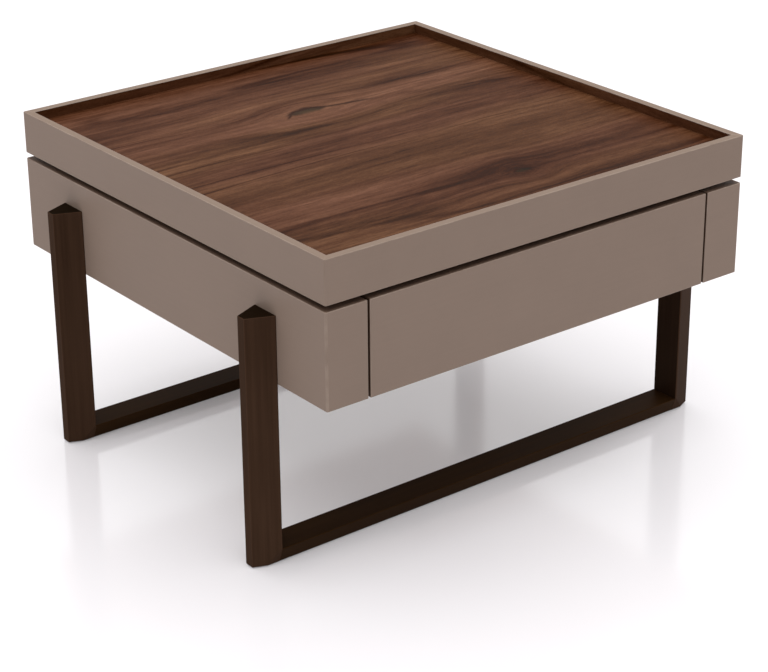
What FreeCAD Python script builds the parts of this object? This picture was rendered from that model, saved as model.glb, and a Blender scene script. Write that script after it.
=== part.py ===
import FreeCAD, Part
import os
import re

import Sketcher
from FreeCAD import Placement, Rotation, Vector

# A square coffee table: a walnut tray top over a lacquered box with one drawer, on two dark sled frames.
# X runs along the drawer front, -Y is the front, Z is up, and the origin lies on the floor under the centre.

doc = FreeCAD.newDocument("CoffeeTable")
sheet = doc.addObject("Spreadsheet::Sheet", "Sizes")

# Driving dimensions in millimetres: name, size and what it measures.
DRIVING_SIZES = (
    ("table_width", 600, "tray and box along the drawer front"),
    ("table_depth", 600, "tray and box from front to back"),
    ("floor_clearance", 218, "floor to the underside of the box"),
    ("box_height", 112, "height of the box and of its drawer front"),
    ("shadow_gap", 7, "open gap between box and tray"),
    ("tray_height", 51, "height of the tray rim"),
    ("rim_thickness", 10, "thickness of the tray rim boards"),
    ("tray_recess", 12, "rim top down to the walnut surface"),
    ("tray_panel_thickness", 18, "walnut panel"),
    ("cleat_width", 20, "cleats under the walnut panel, seen from below"),
    ("cleat_setback", 3, "cleats above the lower edge of the rim"),
    ("spacer_setback", 5, "cleats to the spacer battens"),
    ("spacer_width", 40, "width of the spacer battens"),
    ("panel_thickness", 18, "side panels, back, stiles and drawer front"),
    ("shelf_thickness", 16, "carcass top and bottom boards"),
    ("stile_width", 54, "fixed stile each side of the drawer front"),
    ("seam_gap", 3, "seam between stile and drawer front"),
    ("drawer_stop_gap", 2, "drawer front to the carcass boards behind it"),
    ("grip_width", 220, "finger recess in the carcass bottom"),
    ("grip_depth", 26, "depth of that recess behind the carcass edge"),
    ("rail_height", 44, "packing rails that carry the slides"),
    ("slide_rear_space", 112, "end of the slides to the back panel"),
    ("slide_height", 35, "height of the cabinet member"),
    ("slide_thickness", 12.7, "side space that a slide fills"),
    ("slide_sheet", 1, "sheet steel of the slide members"),
    ("slide_air", 0.5, "air between nested slide sheets"),
    ("slide_lip", 0.7, "turned-in lip that keeps the balls in"),
    ("ball_diameter", 3, "slide balls"),
    ("ball_clearance", 0.15, "ball to its race and to its cage hole"),
    ("cage_length", 200, "ball cages"),
    ("cage_sheet", 0.6, "sheet of the ball cages"),
    ("cage_edge", 0.4, "cage sheet left beside a ball hole"),
    ("cage_end", 10, "first ball from the end of its cage"),
    ("drawer_clearance", 8, "carcass bottom to the drawer sides"),
    ("drawer_headroom", 8, "drawer sides to the carcass top"),
    ("drawer_overhang", 8, "drawer box behind the end of the slides"),
    ("drawer_side_thickness", 12, "drawer box boards"),
    ("drawer_bottom_thickness", 6, "drawer bottom"),
    ("drawer_bottom_rise", 6, "drawer bottom above the lower edge of the sides"),
    ("groove_depth", 5, "groove that holds the drawer bottom"),
    ("groove_clearance", 0.2, "drawer bottom to each wall of its groove"),
    ("post_spacing", 388, "front post to rear post, centre to centre"),
    ("post_rise", 80, "underside of the box to the top of the posts"),
    ("post_width", 38, "broad face of a post, on the side panel"),
    ("post_flat", 12, "narrow outer face of a post"),
    ("post_depth", 32, "side panel to that outer face"),
    ("post_shoulder", 1.5, "square edge of a post next to the side panel"),
    ("runner_thickness", 18, "height of the floor runners"),
    ("runner_taper", 6.5, "lower edges of runners and feet set back from their tops"),
    ("glide_thickness", 1.5, "floor glides under the posts"),
    ("glide_diameter", 20, "floor glides"),
    ("glide_setback", 12, "glide centre from the broad face of its post"),
    ("bolt_diameter", 6, "bolts through the side panels into the posts"),
    ("bolt_head_diameter", 11, "bolt heads"),
    ("bolt_head_height", 3.5, "bolt heads"),
    ("bolt_socket", 4, "hexagon socket across corners"),
    ("bolt_socket_depth", 2, "hexagon socket"),
    ("bolt_bite", 18, "bolt length inside the post"),
    ("bolt_pitch", 14, "the two bolts of a post, centre to centre"),
    ("insert_diameter", 10, "threaded inserts in the posts"),
    ("insert_length", 13, "threaded inserts"),
    ("dowel_diameter", 8, "wooden dowels"),
    ("runner_dowel_length", 36, "dowels between runner and post"),
    ("runner_dowel_pitch", 12, "those two dowels, centre to centre"),
    ("carcass_dowel_length", 30, "dowels of the carcass"),
    ("carcass_dowel_bite", 12, "carcass dowel length inside the lacquered panel"),
    ("carcass_dowel_pitch", 190, "carcass dowels along a board"),
    ("screw_diameter", 4, "wood screws"),
    ("screw_head_diameter", 8, "countersunk heads of the wood screws"),
    ("screw_head_height", 2.4, "countersunk heads of the wood screws"),
    ("tray_screw_bite", 12, "tray screw length inside the walnut panel"),
    ("tray_screw_pitch", 300, "tray screws along a batten"),
    ("rail_screw_bite", 12, "rail screw length inside the side panel"),
    ("corner_screw_bite", 22, "corner screw length inside the end of a drawer board"),
    ("corner_screw_rise", 20, "lower corner screw above the drawer's lower edge"),
    ("corner_screw_pitch", 14, "lower to upper corner screw"),
    ("front_screw_bite", 12, "front screw length inside the drawer front"),
    ("front_screw_inset", 70, "outermost front screw from the inside of the drawer"),
    ("slide_screw_diameter", 3.5, "screws of the slides"),
    ("slide_screw_head", 6.5, "countersunk heads of the slide screws"),
    ("slide_screw_head_height", 1.6, "countersunk heads of the slide screws"),
    ("slide_screw_bite", 9, "slide screw length inside the wood"),
    ("slide_screw_margin", 35, "first slide screw from the end of its member"),
    ("drill_clearance", 0.1, "hole wall to its dowel, bolt or screw"),
    ("bumper_diameter", 8, "bumpers behind the drawer front"),
    ("bumper_air", 0.3, "bumper to the carcass edge when closed"),
    ("bumper_inset", 44, "bumpers from the ends of the drawer front"),
)
FRONT_SCREWS = 4
BALLS_PER_ROW = 8
SIDES = (("left", -1), ("right", 1))
ENDS = (("front", -1), ("rear", 1))

for row, (alias, size, meaning) in enumerate(DRIVING_SIZES, start=1):
    sheet.set(f"A{row}", meaning)
    sheet.set(f"B{row}", str(size))
    sheet.setAlias(f"B{row}", alias)
doc.recompute()

# Levels above the floor
BOX_BOTTOM = "floor_clearance"
BOX_FLOOR = "(floor_clearance + shelf_thickness)"
BOX_TOP = "(floor_clearance + box_height)"
BOX_CEILING = f"({BOX_TOP} - shelf_thickness)"
TRAY_BOTTOM = f"({BOX_TOP} + shadow_gap)"
RIM_TOP = f"({TRAY_BOTTOM} + tray_height)"
TRAY_FACE = f"({RIM_TOP} - tray_recess)"
TRAY_UNDERSIDE = f"({TRAY_FACE} - tray_panel_thickness)"
RAIL_BOTTOM = f"({BOX_CEILING} - rail_height)"
SLIDE_LEVEL = f"({BOX_CEILING} - rail_height / 2)"
BOLT_LEVEL = f"(({BOX_FLOOR} + {RAIL_BOTTOM}) / 2)"
POST_TOP = "(floor_clearance + post_rise)"
DRAWER_LOW = f"({BOX_FLOOR} + drawer_clearance)"
DRAWER_HIGH = f"({BOX_CEILING} - drawer_headroom)"
DRAWER_BOTTOM_LOW = f"({DRAWER_LOW} + drawer_bottom_rise)"
DRAWER_BOTTOM_HIGH = f"({DRAWER_BOTTOM_LOW} + drawer_bottom_thickness)"
RUNNER_MIDDLE = "(glide_thickness + runner_thickness / 2)"
RUNNER_TOP = "(glide_thickness + runner_thickness)"

# Distances from the middle plane, to the left and to the right
OUTSIDE = "(table_width / 2)"
BOX_INSIDE = "(table_width / 2 - panel_thickness)"
TRAY_INSIDE = "(table_width / 2 - rim_thickness)"
RAIL_FACE = "(table_width / 2 - stile_width)"
DRAWER_OUTSIDE = f"({RAIL_FACE} - slide_thickness)"
DRAWER_INSIDE = f"({DRAWER_OUTSIDE} - drawer_side_thickness)"

# Planes from front to back
FRONT = "(-table_depth / 2)"
FRONT_REAR_FACE = "(panel_thickness - table_depth / 2)"
SHELF_FRONT = f"({FRONT_REAR_FACE} + drawer_stop_gap)"
BACK_INSIDE = "(table_depth / 2 - panel_thickness)"
TRAY_BACK_INSIDE = "(table_depth / 2 - rim_thickness)"
DRAWER_FRONT_INSIDE = f"({FRONT_REAR_FACE} + drawer_side_thickness)"
SLIDE_REAR = f"({BACK_INSIDE} - slide_rear_space)"
SLIDE_MIDDLE = f"(({SHELF_FRONT} + {SLIDE_REAR}) / 2)"
DRAWER_REAR = f"({SLIDE_REAR} + drawer_overhang)"

pieces = []


def formula(text):
    """Put the sheet's name before each size in a formula."""
    return re.sub(r"[a-z_]+", lambda word: "Sizes." + word.group(), text)


def number(text):
    """The present value of a formula."""
    return float(sheet.evalExpression(formula(text)))


def bind(item, **formulas):
    """Tie properties of a document object to formulas of the sheet's sizes."""
    for name, text in formulas.items():
        item.setExpression(name, formula(text))


def put(item, x, y, z):
    """Tie the place of a document object to three formulas."""
    for axis, text in zip("xyz", (x, y, z)):
        item.setExpression("Placement.Base." + axis, formula(text))


def piece(item, label):
    """Name a finished piece and keep it for the export."""
    item.Label = label
    pieces.append(item)
    return item


def span(sign, inner, outer):
    """The low and high planes of a piece between two distances from the middle plane."""
    if sign > 0:
        return inner, outer
    return f"-({outer})", f"-({inner})"


def both_ways(reach):
    """The low and high planes of a piece that reaches equally far on both sides."""
    return f"-({reach})", reach


def block(name, x, y, z):
    """A square-edged block between a low and a high plane along each axis."""
    solid = doc.addObject("Part::Box", name)
    for size, (low, high) in zip(("Length", "Width", "Height"), (x, y, z)):
        bind(solid, **{size: f"{high} - ({low})"})
    put(solid, x[0], y[0], z[0])
    return solid


def rod(name, diameter, length, start, along):
    """A round rod of a given length from a start point along a direction."""
    solid = doc.addObject("Part::Cylinder", name)
    solid.Placement = Placement(Vector(), Rotation(Vector(0, 0, 1), along))
    bind(solid, Radius=f"({diameter}) / 2", Height=length)
    put(solid, *start)
    return solid


def tapered(name, low_diameter, high_diameter, length, start, along):
    """A cone frustum from a start point along a direction."""
    solid = doc.addObject("Part::Cone", name)
    solid.Placement = Placement(Vector(), Rotation(Vector(0, 0, 1), along))
    bind(solid, Radius1=f"({low_diameter}) / 2", Radius2=f"({high_diameter}) / 2", Height=length)
    put(solid, *start)
    return solid


def group(name, members):
    """Separate solids kept together as one object."""
    compound = doc.addObject("Part::Compound", name)
    compound.Links = members
    return compound


def fused(name, base, tool):
    """Two overlapping solids made one."""
    whole = doc.addObject("Part::Fuse", name)
    whole.Base = base
    whole.Tool = tool
    return whole


def cut(name, base, tools):
    """A solid with holes or grooves taken out of it."""
    worked = doc.addObject("Part::Cut", name)
    worked.Base = base
    worked.Tool = tools[0] if len(tools) == 1 else group(name + "_tools", tools)
    return worked


def outline(sketch, corners):
    """Draw a closed outline whose corners are tied to pairs of formulas."""
    points = [Vector(number(across), number(up), 0) for across, up in corners]
    count = len(corners)
    for index, point in enumerate(points):
        sketch.addGeometry(Part.LineSegment(point, points[(index + 1) % count]))
    for index in range(count):
        sketch.addConstraint(Sketcher.Constraint("Coincident", index, 2, (index + 1) % count, 1))
    for index, (point, texts) in enumerate(zip(points, corners)):
        for kind, text, value in zip(("DistanceX", "DistanceY"), texts, (point.x, point.y)):
            place = sketch.addConstraint(Sketcher.Constraint(kind, -1, 1, index, 1, value))
            sketch.setExpression(f"Constraints[{place}]", formula(text))


def prism(name, plane, corners, low, high):
    """A straight piece of one section, drawn on an origin plane and carried square to it from low to high."""
    body = doc.addObject("PartDesign::Body", name)
    sketch = body.newObject("Sketcher::SketchObject", name + "_outline")
    support = next(item for item in body.Origin.OriginFeatures if item.Role == plane)
    sketch.AttachmentSupport = [(support, "")]
    sketch.MapMode = "FlatFace"
    outline(sketch, corners)
    pad = body.newObject("PartDesign::Pad", name + "_pad")
    pad.Profile = sketch
    pad.Reversed = plane == "XZ_Plane"
    bind(pad, Length=f"{high} - ({low})")
    starts = {"XY_Plane": ("0", "0", low), "XZ_Plane": ("0", low, "0"), "YZ_Plane": (low, "0", "0")}
    put(body, *starts[plane])
    return body


def mitred_board(name, side, thickness, low, high):
    """One board of a square frame on the table's outline, mitred at both ends."""
    across = "table_width / 2"
    deep = "table_depth / 2"
    outer = {
        "front": (("-", "-"), ("", "-")),
        "right": (("", "-"), ("", "")),
        "back": (("", ""), ("-", "")),
        "left": (("-", ""), ("-", "-")),
    }[side]
    corners = [(f"{sx}({across})", f"{sy}({deep})") for sx, sy in outer]
    for sx, sy in reversed(outer):
        corners.append((f"{sx}({across} - {thickness})", f"{sy}({deep} - {thickness})"))
    return prism(name, "XY_Plane", corners, low, high)


def screw(name, start, along, sizes, grow="0"):
    """A countersunk screw with its head flush at the start, or with growth the hole that takes it."""
    diameter, head, head_height, length = sizes
    wide_head = f"{head} + 2 * {grow}"
    shank_width = f"{diameter} + 2 * {grow}"
    cone = tapered(name + "_head", wide_head, shank_width, head_height, start, along)
    shank = rod(name + "_shank", shank_width, f"{length} + {grow}", start, along)
    return fused(name, cone, shank)


def screws(label, spots, sizes):
    """A set of equal screws and the holes that they need."""
    made = [screw(f"{label}_{i}", start, along, sizes) for i, (start, along) in enumerate(spots)]
    holes = [
        screw(f"{label}_hole_{i}", start, along, sizes, "drill_clearance")
        for i, (start, along) in enumerate(spots)
    ]
    piece(group(label, made), label)
    return group(label + "_holes", holes)


def dowels(label, spots, length):
    """A set of equal dowels and the holes that they need, with air at both ends."""
    made = []
    holes = []
    for i, (start, along) in enumerate(spots):
        made.append(rod(f"{label}_{i}", "dowel_diameter", length, start, along))
        offsets = [f"{text} - ({part}) * drill_clearance" for text, part in zip(start, along)]
        width = "dowel_diameter + 2 * drill_clearance"
        holes.append(rod(f"{label}_hole_{i}", width, f"{length} + 2 * drill_clearance", offsets, along))
    piece(group(label, made), label)
    return group(label + "_holes", holes)


def toward(sign):
    """The direction away from the middle plane on one side."""
    return Vector(sign, 0, 0)


# Screws and dowels come first, because the boards that they join are drilled for them.
WOOD_SCREW = ("screw_diameter", "screw_head_diameter", "screw_head_height")
SLIDE_SCREW = (
    "slide_screw_diameter",
    "slide_screw_head",
    "slide_screw_head_height",
    "(slide_sheet + slide_screw_bite)",
)

spacer_out_x = f"({TRAY_INSIDE} - cleat_width - spacer_setback)"
spacer_out_y = f"({TRAY_BACK_INSIDE} - cleat_width - spacer_setback)"
batten_axis_x = f"({spacer_out_x} - spacer_width / 2)"
batten_axis_y = f"({spacer_out_y} - spacer_width / 2)"
tray_screw_length = f"{TRAY_UNDERSIDE} + tray_screw_bite - {BOX_CEILING}"
tray_screw_spots = []
for first in (-1, 1):
    for second in (-1, 1):
        along_batten = f"{first} * tray_screw_pitch / 2"
        on_front_or_back = (along_batten, f"{second} * {batten_axis_y}", BOX_CEILING)
        on_left_or_right = (f"{second} * {batten_axis_x}", along_batten, BOX_CEILING)
        tray_screw_spots.append((on_front_or_back, Vector(0, 0, 1)))
        tray_screw_spots.append((on_left_or_right, Vector(0, 0, 1)))
tray_screw_holes = screws("tray_screws", tray_screw_spots, WOOD_SCREW + (tray_screw_length,))

carcass_dowel_spots = []
dowel_start = "(carcass_dowel_length - carcass_dowel_bite)"
for board_level in (f"({BOX_BOTTOM} + shelf_thickness / 2)", f"({BOX_CEILING} + shelf_thickness / 2)"):
    for step in (-1, 0, 1):
        shift = f"{step} * carcass_dowel_pitch"
        for _, sign in SIDES:
            start = (f"{sign} * ({BOX_INSIDE} - {dowel_start})", shift, board_level)
            carcass_dowel_spots.append((start, toward(sign)))
        start = (shift, f"{BACK_INSIDE} - {dowel_start}", board_level)
        carcass_dowel_spots.append((start, Vector(0, 1, 0)))
carcass_dowel_holes = dowels("carcass_dowels", carcass_dowel_spots, "carcass_dowel_length")

rail_screw_spots = []
slide_cabinet_spots = []
slide_drawer_spots = []
drawer_corner_spots = []
slide_screw_reach = f"(({SLIDE_REAR} - {SHELF_FRONT}) / 2 - slide_screw_margin)"
rail_screw_lines = (
    f"{SLIDE_MIDDLE} - {slide_screw_reach} / 2",
    f"{SLIDE_MIDDLE} + {slide_screw_reach} / 2",
    f"({SLIDE_REAR} + {BACK_INSIDE}) / 2",
)
corner_planes = (
    f"({FRONT_REAR_FACE} + drawer_side_thickness / 2)",
    f"({DRAWER_REAR} - drawer_side_thickness / 2)",
)
for _, sign in SIDES:
    for line in rail_screw_lines:
        rail_screw_spots.append(((f"{sign} * {RAIL_FACE}", line, SLIDE_LEVEL), toward(sign)))
    for step in (-1, 0, 1):
        line = f"{SLIDE_MIDDLE} + {step} * {slide_screw_reach}"
        cabinet_start = (f"{sign} * ({RAIL_FACE} - slide_sheet)", line, SLIDE_LEVEL)
        slide_cabinet_spots.append((cabinet_start, toward(sign)))
        drawer_start = (f"{sign} * ({DRAWER_OUTSIDE} + slide_sheet)", line, SLIDE_LEVEL)
        slide_drawer_spots.append((drawer_start, toward(-sign)))
    for corner_plane in corner_planes:
        for step in (0, 1):
            level = f"{DRAWER_LOW} + corner_screw_rise + {step} * corner_screw_pitch"
            start = (f"{sign} * {DRAWER_OUTSIDE}", corner_plane, level)
            drawer_corner_spots.append((start, toward(-sign)))
rail_screw_length = f"{BOX_INSIDE} + rail_screw_bite - {RAIL_FACE}"
rail_screw_holes = screws("rail_screws", rail_screw_spots, WOOD_SCREW + (rail_screw_length,))
slide_cabinet_holes = screws("slide_cabinet_screws", slide_cabinet_spots, SLIDE_SCREW)
slide_drawer_holes = screws("slide_drawer_screws", slide_drawer_spots, SLIDE_SCREW)
corner_screw_length = "(drawer_side_thickness + corner_screw_bite)"
corner_screw_holes = screws("drawer_corner_screws", drawer_corner_spots, WOOD_SCREW + (corner_screw_length,))

front_screw_spots = []
front_screw_level = f"({DRAWER_BOTTOM_HIGH} + {DRAWER_HIGH}) / 2"
for i in range(FRONT_SCREWS):
    share = f"(2 * {i} / {FRONT_SCREWS - 1} - 1)"
    start = (f"{share} * ({DRAWER_INSIDE} - front_screw_inset)", DRAWER_FRONT_INSIDE, front_screw_level)
    front_screw_spots.append((start, Vector(0, -1, 0)))
front_screw_length = "(drawer_side_thickness + front_screw_bite)"
front_screw_holes = screws("drawer_front_screws", front_screw_spots, WOOD_SCREW + (front_screw_length,))

post_spots = [(end, side, end_sign, sign) for end, end_sign in ENDS for side, sign in SIDES]
runner_dowel_spots = []
bolt_spots = []
for end, side, end_sign, sign in post_spots:
    post_line = f"{end_sign} * post_spacing / 2"
    for step in (-1, 1):
        line = f"{post_line} + {step} * runner_dowel_pitch / 2"
        start = (f"{sign} * ({OUTSIDE} - runner_dowel_length / 2)", line, RUNNER_MIDDLE)
        runner_dowel_spots.append((start, toward(sign)))
        bolt_spots.append((sign, f"{post_line} + {step} * bolt_pitch / 2"))
runner_dowel_holes = dowels("runner_dowels", runner_dowel_spots, "runner_dowel_length")


def post_bolt(name, sign, line):
    """A bolt with a low round head and a hexagon socket, from inside the box into a post."""
    head_start = (f"{sign} * ({BOX_INSIDE} - bolt_head_height)", line, BOLT_LEVEL)
    head = rod(name + "_cap", "bolt_head_diameter", "bolt_head_height", head_start, toward(sign))
    length = "panel_thickness + bolt_bite"
    panel_start = (f"{sign} * {BOX_INSIDE}", line, BOLT_LEVEL)
    shank = rod(name + "_shank", "bolt_diameter", length, panel_start, toward(sign))
    blank = fused(name + "_blank", head, shank)
    socket = doc.addObject("Part::Prism", name + "_socket")
    socket.Polygon = 6
    socket.Placement = Placement(Vector(), Rotation(Vector(0, 0, 1), toward(sign)))
    bind(socket, Circumradius="bolt_socket / 2", Height="bolt_socket_depth")
    put(socket, *head_start)
    return cut(name, blank, [socket])


bolts = []
inserts = []
bolt_holes = []
insert_holes = []
for i, (sign, line) in enumerate(bolt_spots):
    bolts.append(post_bolt(f"post_bolt_{i}", sign, line))
    panel_start = (f"{sign} * {BOX_INSIDE}", line, BOLT_LEVEL)
    post_start = (f"{sign} * {OUTSIDE}", line, BOLT_LEVEL)
    bolt_width = "bolt_diameter + 2 * drill_clearance"
    bolt_reach = "panel_thickness + bolt_bite + drill_clearance"
    bolt_holes.append(rod(f"bolt_hole_{i}", bolt_width, bolt_reach, panel_start, toward(sign)))
    sleeve = rod(f"insert_{i}_sleeve", "insert_diameter", "insert_length", post_start, toward(sign))
    bore = rod(f"insert_{i}_bore", bolt_width, "insert_length", post_start, toward(sign))
    inserts.append(cut(f"insert_{i}", sleeve, [bore]))
    insert_width = "insert_diameter + 2 * drill_clearance"
    insert_reach = "insert_length + drill_clearance"
    pocket = rod(f"insert_hole_{i}_wide", insert_width, insert_reach, post_start, toward(sign))
    tip = rod(f"insert_hole_{i}_tip", bolt_width, "bolt_bite + drill_clearance", post_start, toward(sign))
    insert_holes.append(fused(f"insert_hole_{i}", pocket, tip))
piece(group("post_bolts", bolts), "post_bolts")
piece(group("post_inserts", inserts), "post_inserts")
panel_bolt_holes = group("bolt_holes", bolt_holes)
post_insert_holes = group("insert_holes", insert_holes)

# Tray: mitred rim, sunk walnut panel, cleats under it and the spacer battens it stands on
for side in ("front", "back", "left", "right"):
    label = "tray_rim_" + side
    piece(mitred_board(label, side, "rim_thickness", TRAY_BOTTOM, RIM_TOP), label)

panel_blank = block(
    "tray_panel_blank", both_ways(TRAY_INSIDE), both_ways(TRAY_BACK_INSIDE), (TRAY_UNDERSIDE, TRAY_FACE)
)
piece(cut("tray_panel", panel_blank, [tray_screw_holes]), "tray_panel")

cleat_levels = (f"{TRAY_BOTTOM} + cleat_setback", TRAY_UNDERSIDE)
spacer_levels = (BOX_TOP, TRAY_UNDERSIDE)
cleat_end = f"{TRAY_BACK_INSIDE} - cleat_width"
spacer_end = f"({spacer_out_y} - spacer_width)"
for side, sign in (("front", -1), ("back", 1)):
    label = "tray_cleat_" + side
    piece(block(label, both_ways(TRAY_INSIDE), span(sign, cleat_end, TRAY_BACK_INSIDE), cleat_levels), label)
    label = "spacer_batten_" + side
    deep = span(sign, spacer_end, spacer_out_y)
    blank = block(label + "_blank", both_ways(spacer_out_x), deep, spacer_levels)
    piece(cut(label, blank, [tray_screw_holes]), label)
for side, sign in SIDES:
    label = "tray_cleat_" + side
    across = span(sign, f"{TRAY_INSIDE} - cleat_width", TRAY_INSIDE)
    piece(block(label, across, both_ways(cleat_end), cleat_levels), label)
    label = "spacer_batten_" + side
    across = span(sign, f"{spacer_out_x} - spacer_width", spacer_out_x)
    blank = block(label + "_blank", across, both_ways(spacer_end), spacer_levels)
    piece(cut(label, blank, [tray_screw_holes]), label)

# Box: mitred lacquered panels and stiles round a carcass of two boards and two packing rails
for side, sign in SIDES:
    label = "side_panel_" + side
    blank = mitred_board(label + "_blank", side, "panel_thickness", BOX_BOTTOM, BOX_TOP)
    piece(cut(label, blank, [carcass_dowel_holes, rail_screw_holes, panel_bolt_holes]), label)
    label = "front_stile_" + side
    corners = (
        (f"{sign} * {OUTSIDE}", FRONT),
        (f"{sign} * {RAIL_FACE}", FRONT),
        (f"{sign} * {RAIL_FACE}", FRONT_REAR_FACE),
        (f"{sign} * {BOX_INSIDE}", FRONT_REAR_FACE),
    )
    piece(prism(label, "XY_Plane", corners, BOX_BOTTOM, BOX_TOP), label)
    label = "slide_rail_" + side
    rail_across = span(sign, RAIL_FACE, BOX_INSIDE)
    blank = block(label + "_blank", rail_across, (FRONT_REAR_FACE, BACK_INSIDE), (RAIL_BOTTOM, BOX_CEILING))
    piece(cut(label, blank, [rail_screw_holes, slide_cabinet_holes]), label)

back_blank = mitred_board("back_panel_blank", "back", "panel_thickness", BOX_BOTTOM, BOX_TOP)
piece(cut("back_panel", back_blank, [carcass_dowel_holes]), "back_panel")

shelf_plan = (both_ways(BOX_INSIDE), (SHELF_FRONT, BACK_INSIDE))
top_blank = block("carcass_top_blank", *shelf_plan, (BOX_CEILING, BOX_TOP))
piece(cut("carcass_top", top_blank, [carcass_dowel_holes, tray_screw_holes]), "carcass_top")
bottom_levels = (BOX_BOTTOM, BOX_FLOOR)
bottom_blank = block("carcass_bottom_blank", *shelf_plan, bottom_levels)
grip_deep = (SHELF_FRONT, f"{SHELF_FRONT} + grip_depth")
grip = block("finger_recess", both_ways("grip_width / 2"), grip_deep, bottom_levels)
piece(cut("carcass_bottom", bottom_blank, [carcass_dowel_holes, grip]), "carcass_bottom")

# Drawer: a grooved box behind the lacquered front
front_across = both_ways(f"({RAIL_FACE} - seam_gap)")
front_blank = block("drawer_front_blank", front_across, (FRONT, FRONT_REAR_FACE), (BOX_BOTTOM, BOX_TOP))
piece(cut("drawer_front", front_blank, [front_screw_holes]), "drawer_front")

bottom_edge = f"({DRAWER_INSIDE} + groove_depth - groove_clearance)"
bottom_front = f"({DRAWER_FRONT_INSIDE} - groove_depth + groove_clearance)"
drawer_bottom = block(
    "drawer_bottom",
    both_ways(bottom_edge),
    (bottom_front, DRAWER_REAR),
    (DRAWER_BOTTOM_LOW, DRAWER_BOTTOM_HIGH),
)
piece(drawer_bottom, "drawer_bottom")
groove = block(
    "drawer_bottom_groove",
    both_ways(f"({DRAWER_INSIDE} + groove_depth)"),
    (f"{DRAWER_FRONT_INSIDE} - groove_depth", DRAWER_REAR),
    (f"{DRAWER_BOTTOM_LOW} - groove_clearance", f"{DRAWER_BOTTOM_HIGH} + groove_clearance"),
)

box_front_blank = block(
    "drawer_box_front_blank",
    both_ways(DRAWER_INSIDE),
    (FRONT_REAR_FACE, DRAWER_FRONT_INSIDE),
    (DRAWER_LOW, DRAWER_HIGH),
)
box_front_tools = [groove, corner_screw_holes, front_screw_holes]
piece(cut("drawer_box_front", box_front_blank, box_front_tools), "drawer_box_front")
drawer_back_blank = block(
    "drawer_back_blank",
    both_ways(DRAWER_INSIDE),
    (f"{DRAWER_REAR} - drawer_side_thickness", DRAWER_REAR),
    (DRAWER_BOTTOM_HIGH, DRAWER_HIGH),
)
piece(cut("drawer_back", drawer_back_blank, [corner_screw_holes]), "drawer_back")
for side, sign in SIDES:
    label = "drawer_side_" + side
    drawer_side_across = span(sign, DRAWER_INSIDE, DRAWER_OUTSIDE)
    blank = block(
        label + "_blank", drawer_side_across, (FRONT_REAR_FACE, DRAWER_REAR), (DRAWER_LOW, DRAWER_HIGH)
    )
    piece(cut(label, blank, [groove, corner_screw_holes, slide_drawer_holes]), label)

bumpers = []
for first in (-1, 1):
    for level in (f"{BOX_BOTTOM} + shelf_thickness / 2", f"{BOX_CEILING} + shelf_thickness / 2"):
        start = (f"{first} * ({RAIL_FACE} - seam_gap - bumper_inset)", FRONT_REAR_FACE, level)
        name = f"drawer_bumper_{len(bumpers)}"
        bumpers.append(rod(name, "bumper_diameter", "drawer_stop_gap - bumper_air", start, Vector(0, 1, 0)))
piece(group("drawer_bumpers", bumpers), "drawer_bumpers")

# Slides: nested channels, counted from the rail face towards the drawer, with balls between their flanges
CABINET_HALF = "(slide_height / 2)"
CABINET_RACE = f"({CABINET_HALF} - slide_sheet)"
BALL_SPACE = "(ball_diameter + 2 * ball_clearance)"
MIDDLE_HALF = f"({CABINET_RACE} - {BALL_SPACE})"
MIDDLE_RACE = f"({MIDDLE_HALF} - slide_sheet)"
DRAWER_HALF = f"({MIDDLE_RACE} - {BALL_SPACE})"
OUTER_CAGE_WEB = "(slide_sheet + slide_air)"
MIDDLE_WEB = f"({OUTER_CAGE_WEB} + cage_sheet + slide_air)"
INNER_CAGE_WEB = f"({MIDDLE_WEB} + slide_sheet + slide_air)"
DRAWER_FLANGE_TIP = f"({INNER_CAGE_WEB} + cage_sheet + slide_air)"
FLANGE_TIP = "(slide_thickness - slide_sheet - 2 * slide_air)"
OUTER_BALL_DEPTH = f"(({MIDDLE_WEB} + {FLANGE_TIP}) / 2)"
INNER_BALL_DEPTH = f"(({INNER_CAGE_WEB} + cage_sheet + {FLANGE_TIP} - slide_sheet) / 2)"
OUTER_BALL_HEIGHT = f"({CABINET_RACE} - {BALL_SPACE} / 2)"
INNER_BALL_HEIGHT = f"({MIDDLE_RACE} - {BALL_SPACE} / 2)"
CAGE_REACH = "(ball_diameter / 2 + ball_clearance + cage_edge)"
CAGE_FRONT = f"({SLIDE_MIDDLE} - cage_length / 2)"
CAGE_REAR = f"({SLIDE_MIDDLE} + cage_length / 2)"


def channel(name, sign, web, tip, half, gauge, front, rear, lip=None):
    """A channel along Y: a web at one depth from the rail, flanges to another, and lips if it has them."""
    inward = "" if number(f"{tip} - {web}") > 0 else "-"
    web_face = f"{web} + {inward}{gauge}"
    lower = [(web, half), (tip, half)]
    if lip:
        lower.append((tip, f"{half} - {gauge} - {lip}"))
        lower.append((f"{tip} - {inward}{gauge}", f"{half} - {gauge} - {lip}"))
        lower.append((f"{tip} - {inward}{gauge}", f"{half} - {gauge}"))
    else:
        lower.append((tip, f"{half} - {gauge}"))
    lower.append((web_face, f"{half} - {gauge}"))
    corners = []
    for depth, height in lower:
        corners.append((f"{sign} * ({RAIL_FACE} - ({depth}))", f"{SLIDE_LEVEL} - ({height})"))
    for depth, height in reversed(lower):
        corners.append((f"{sign} * ({RAIL_FACE} - ({depth}))", f"{SLIDE_LEVEL} + {height}"))
    return prism(name, "XZ_Plane", corners, front, rear)


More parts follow.
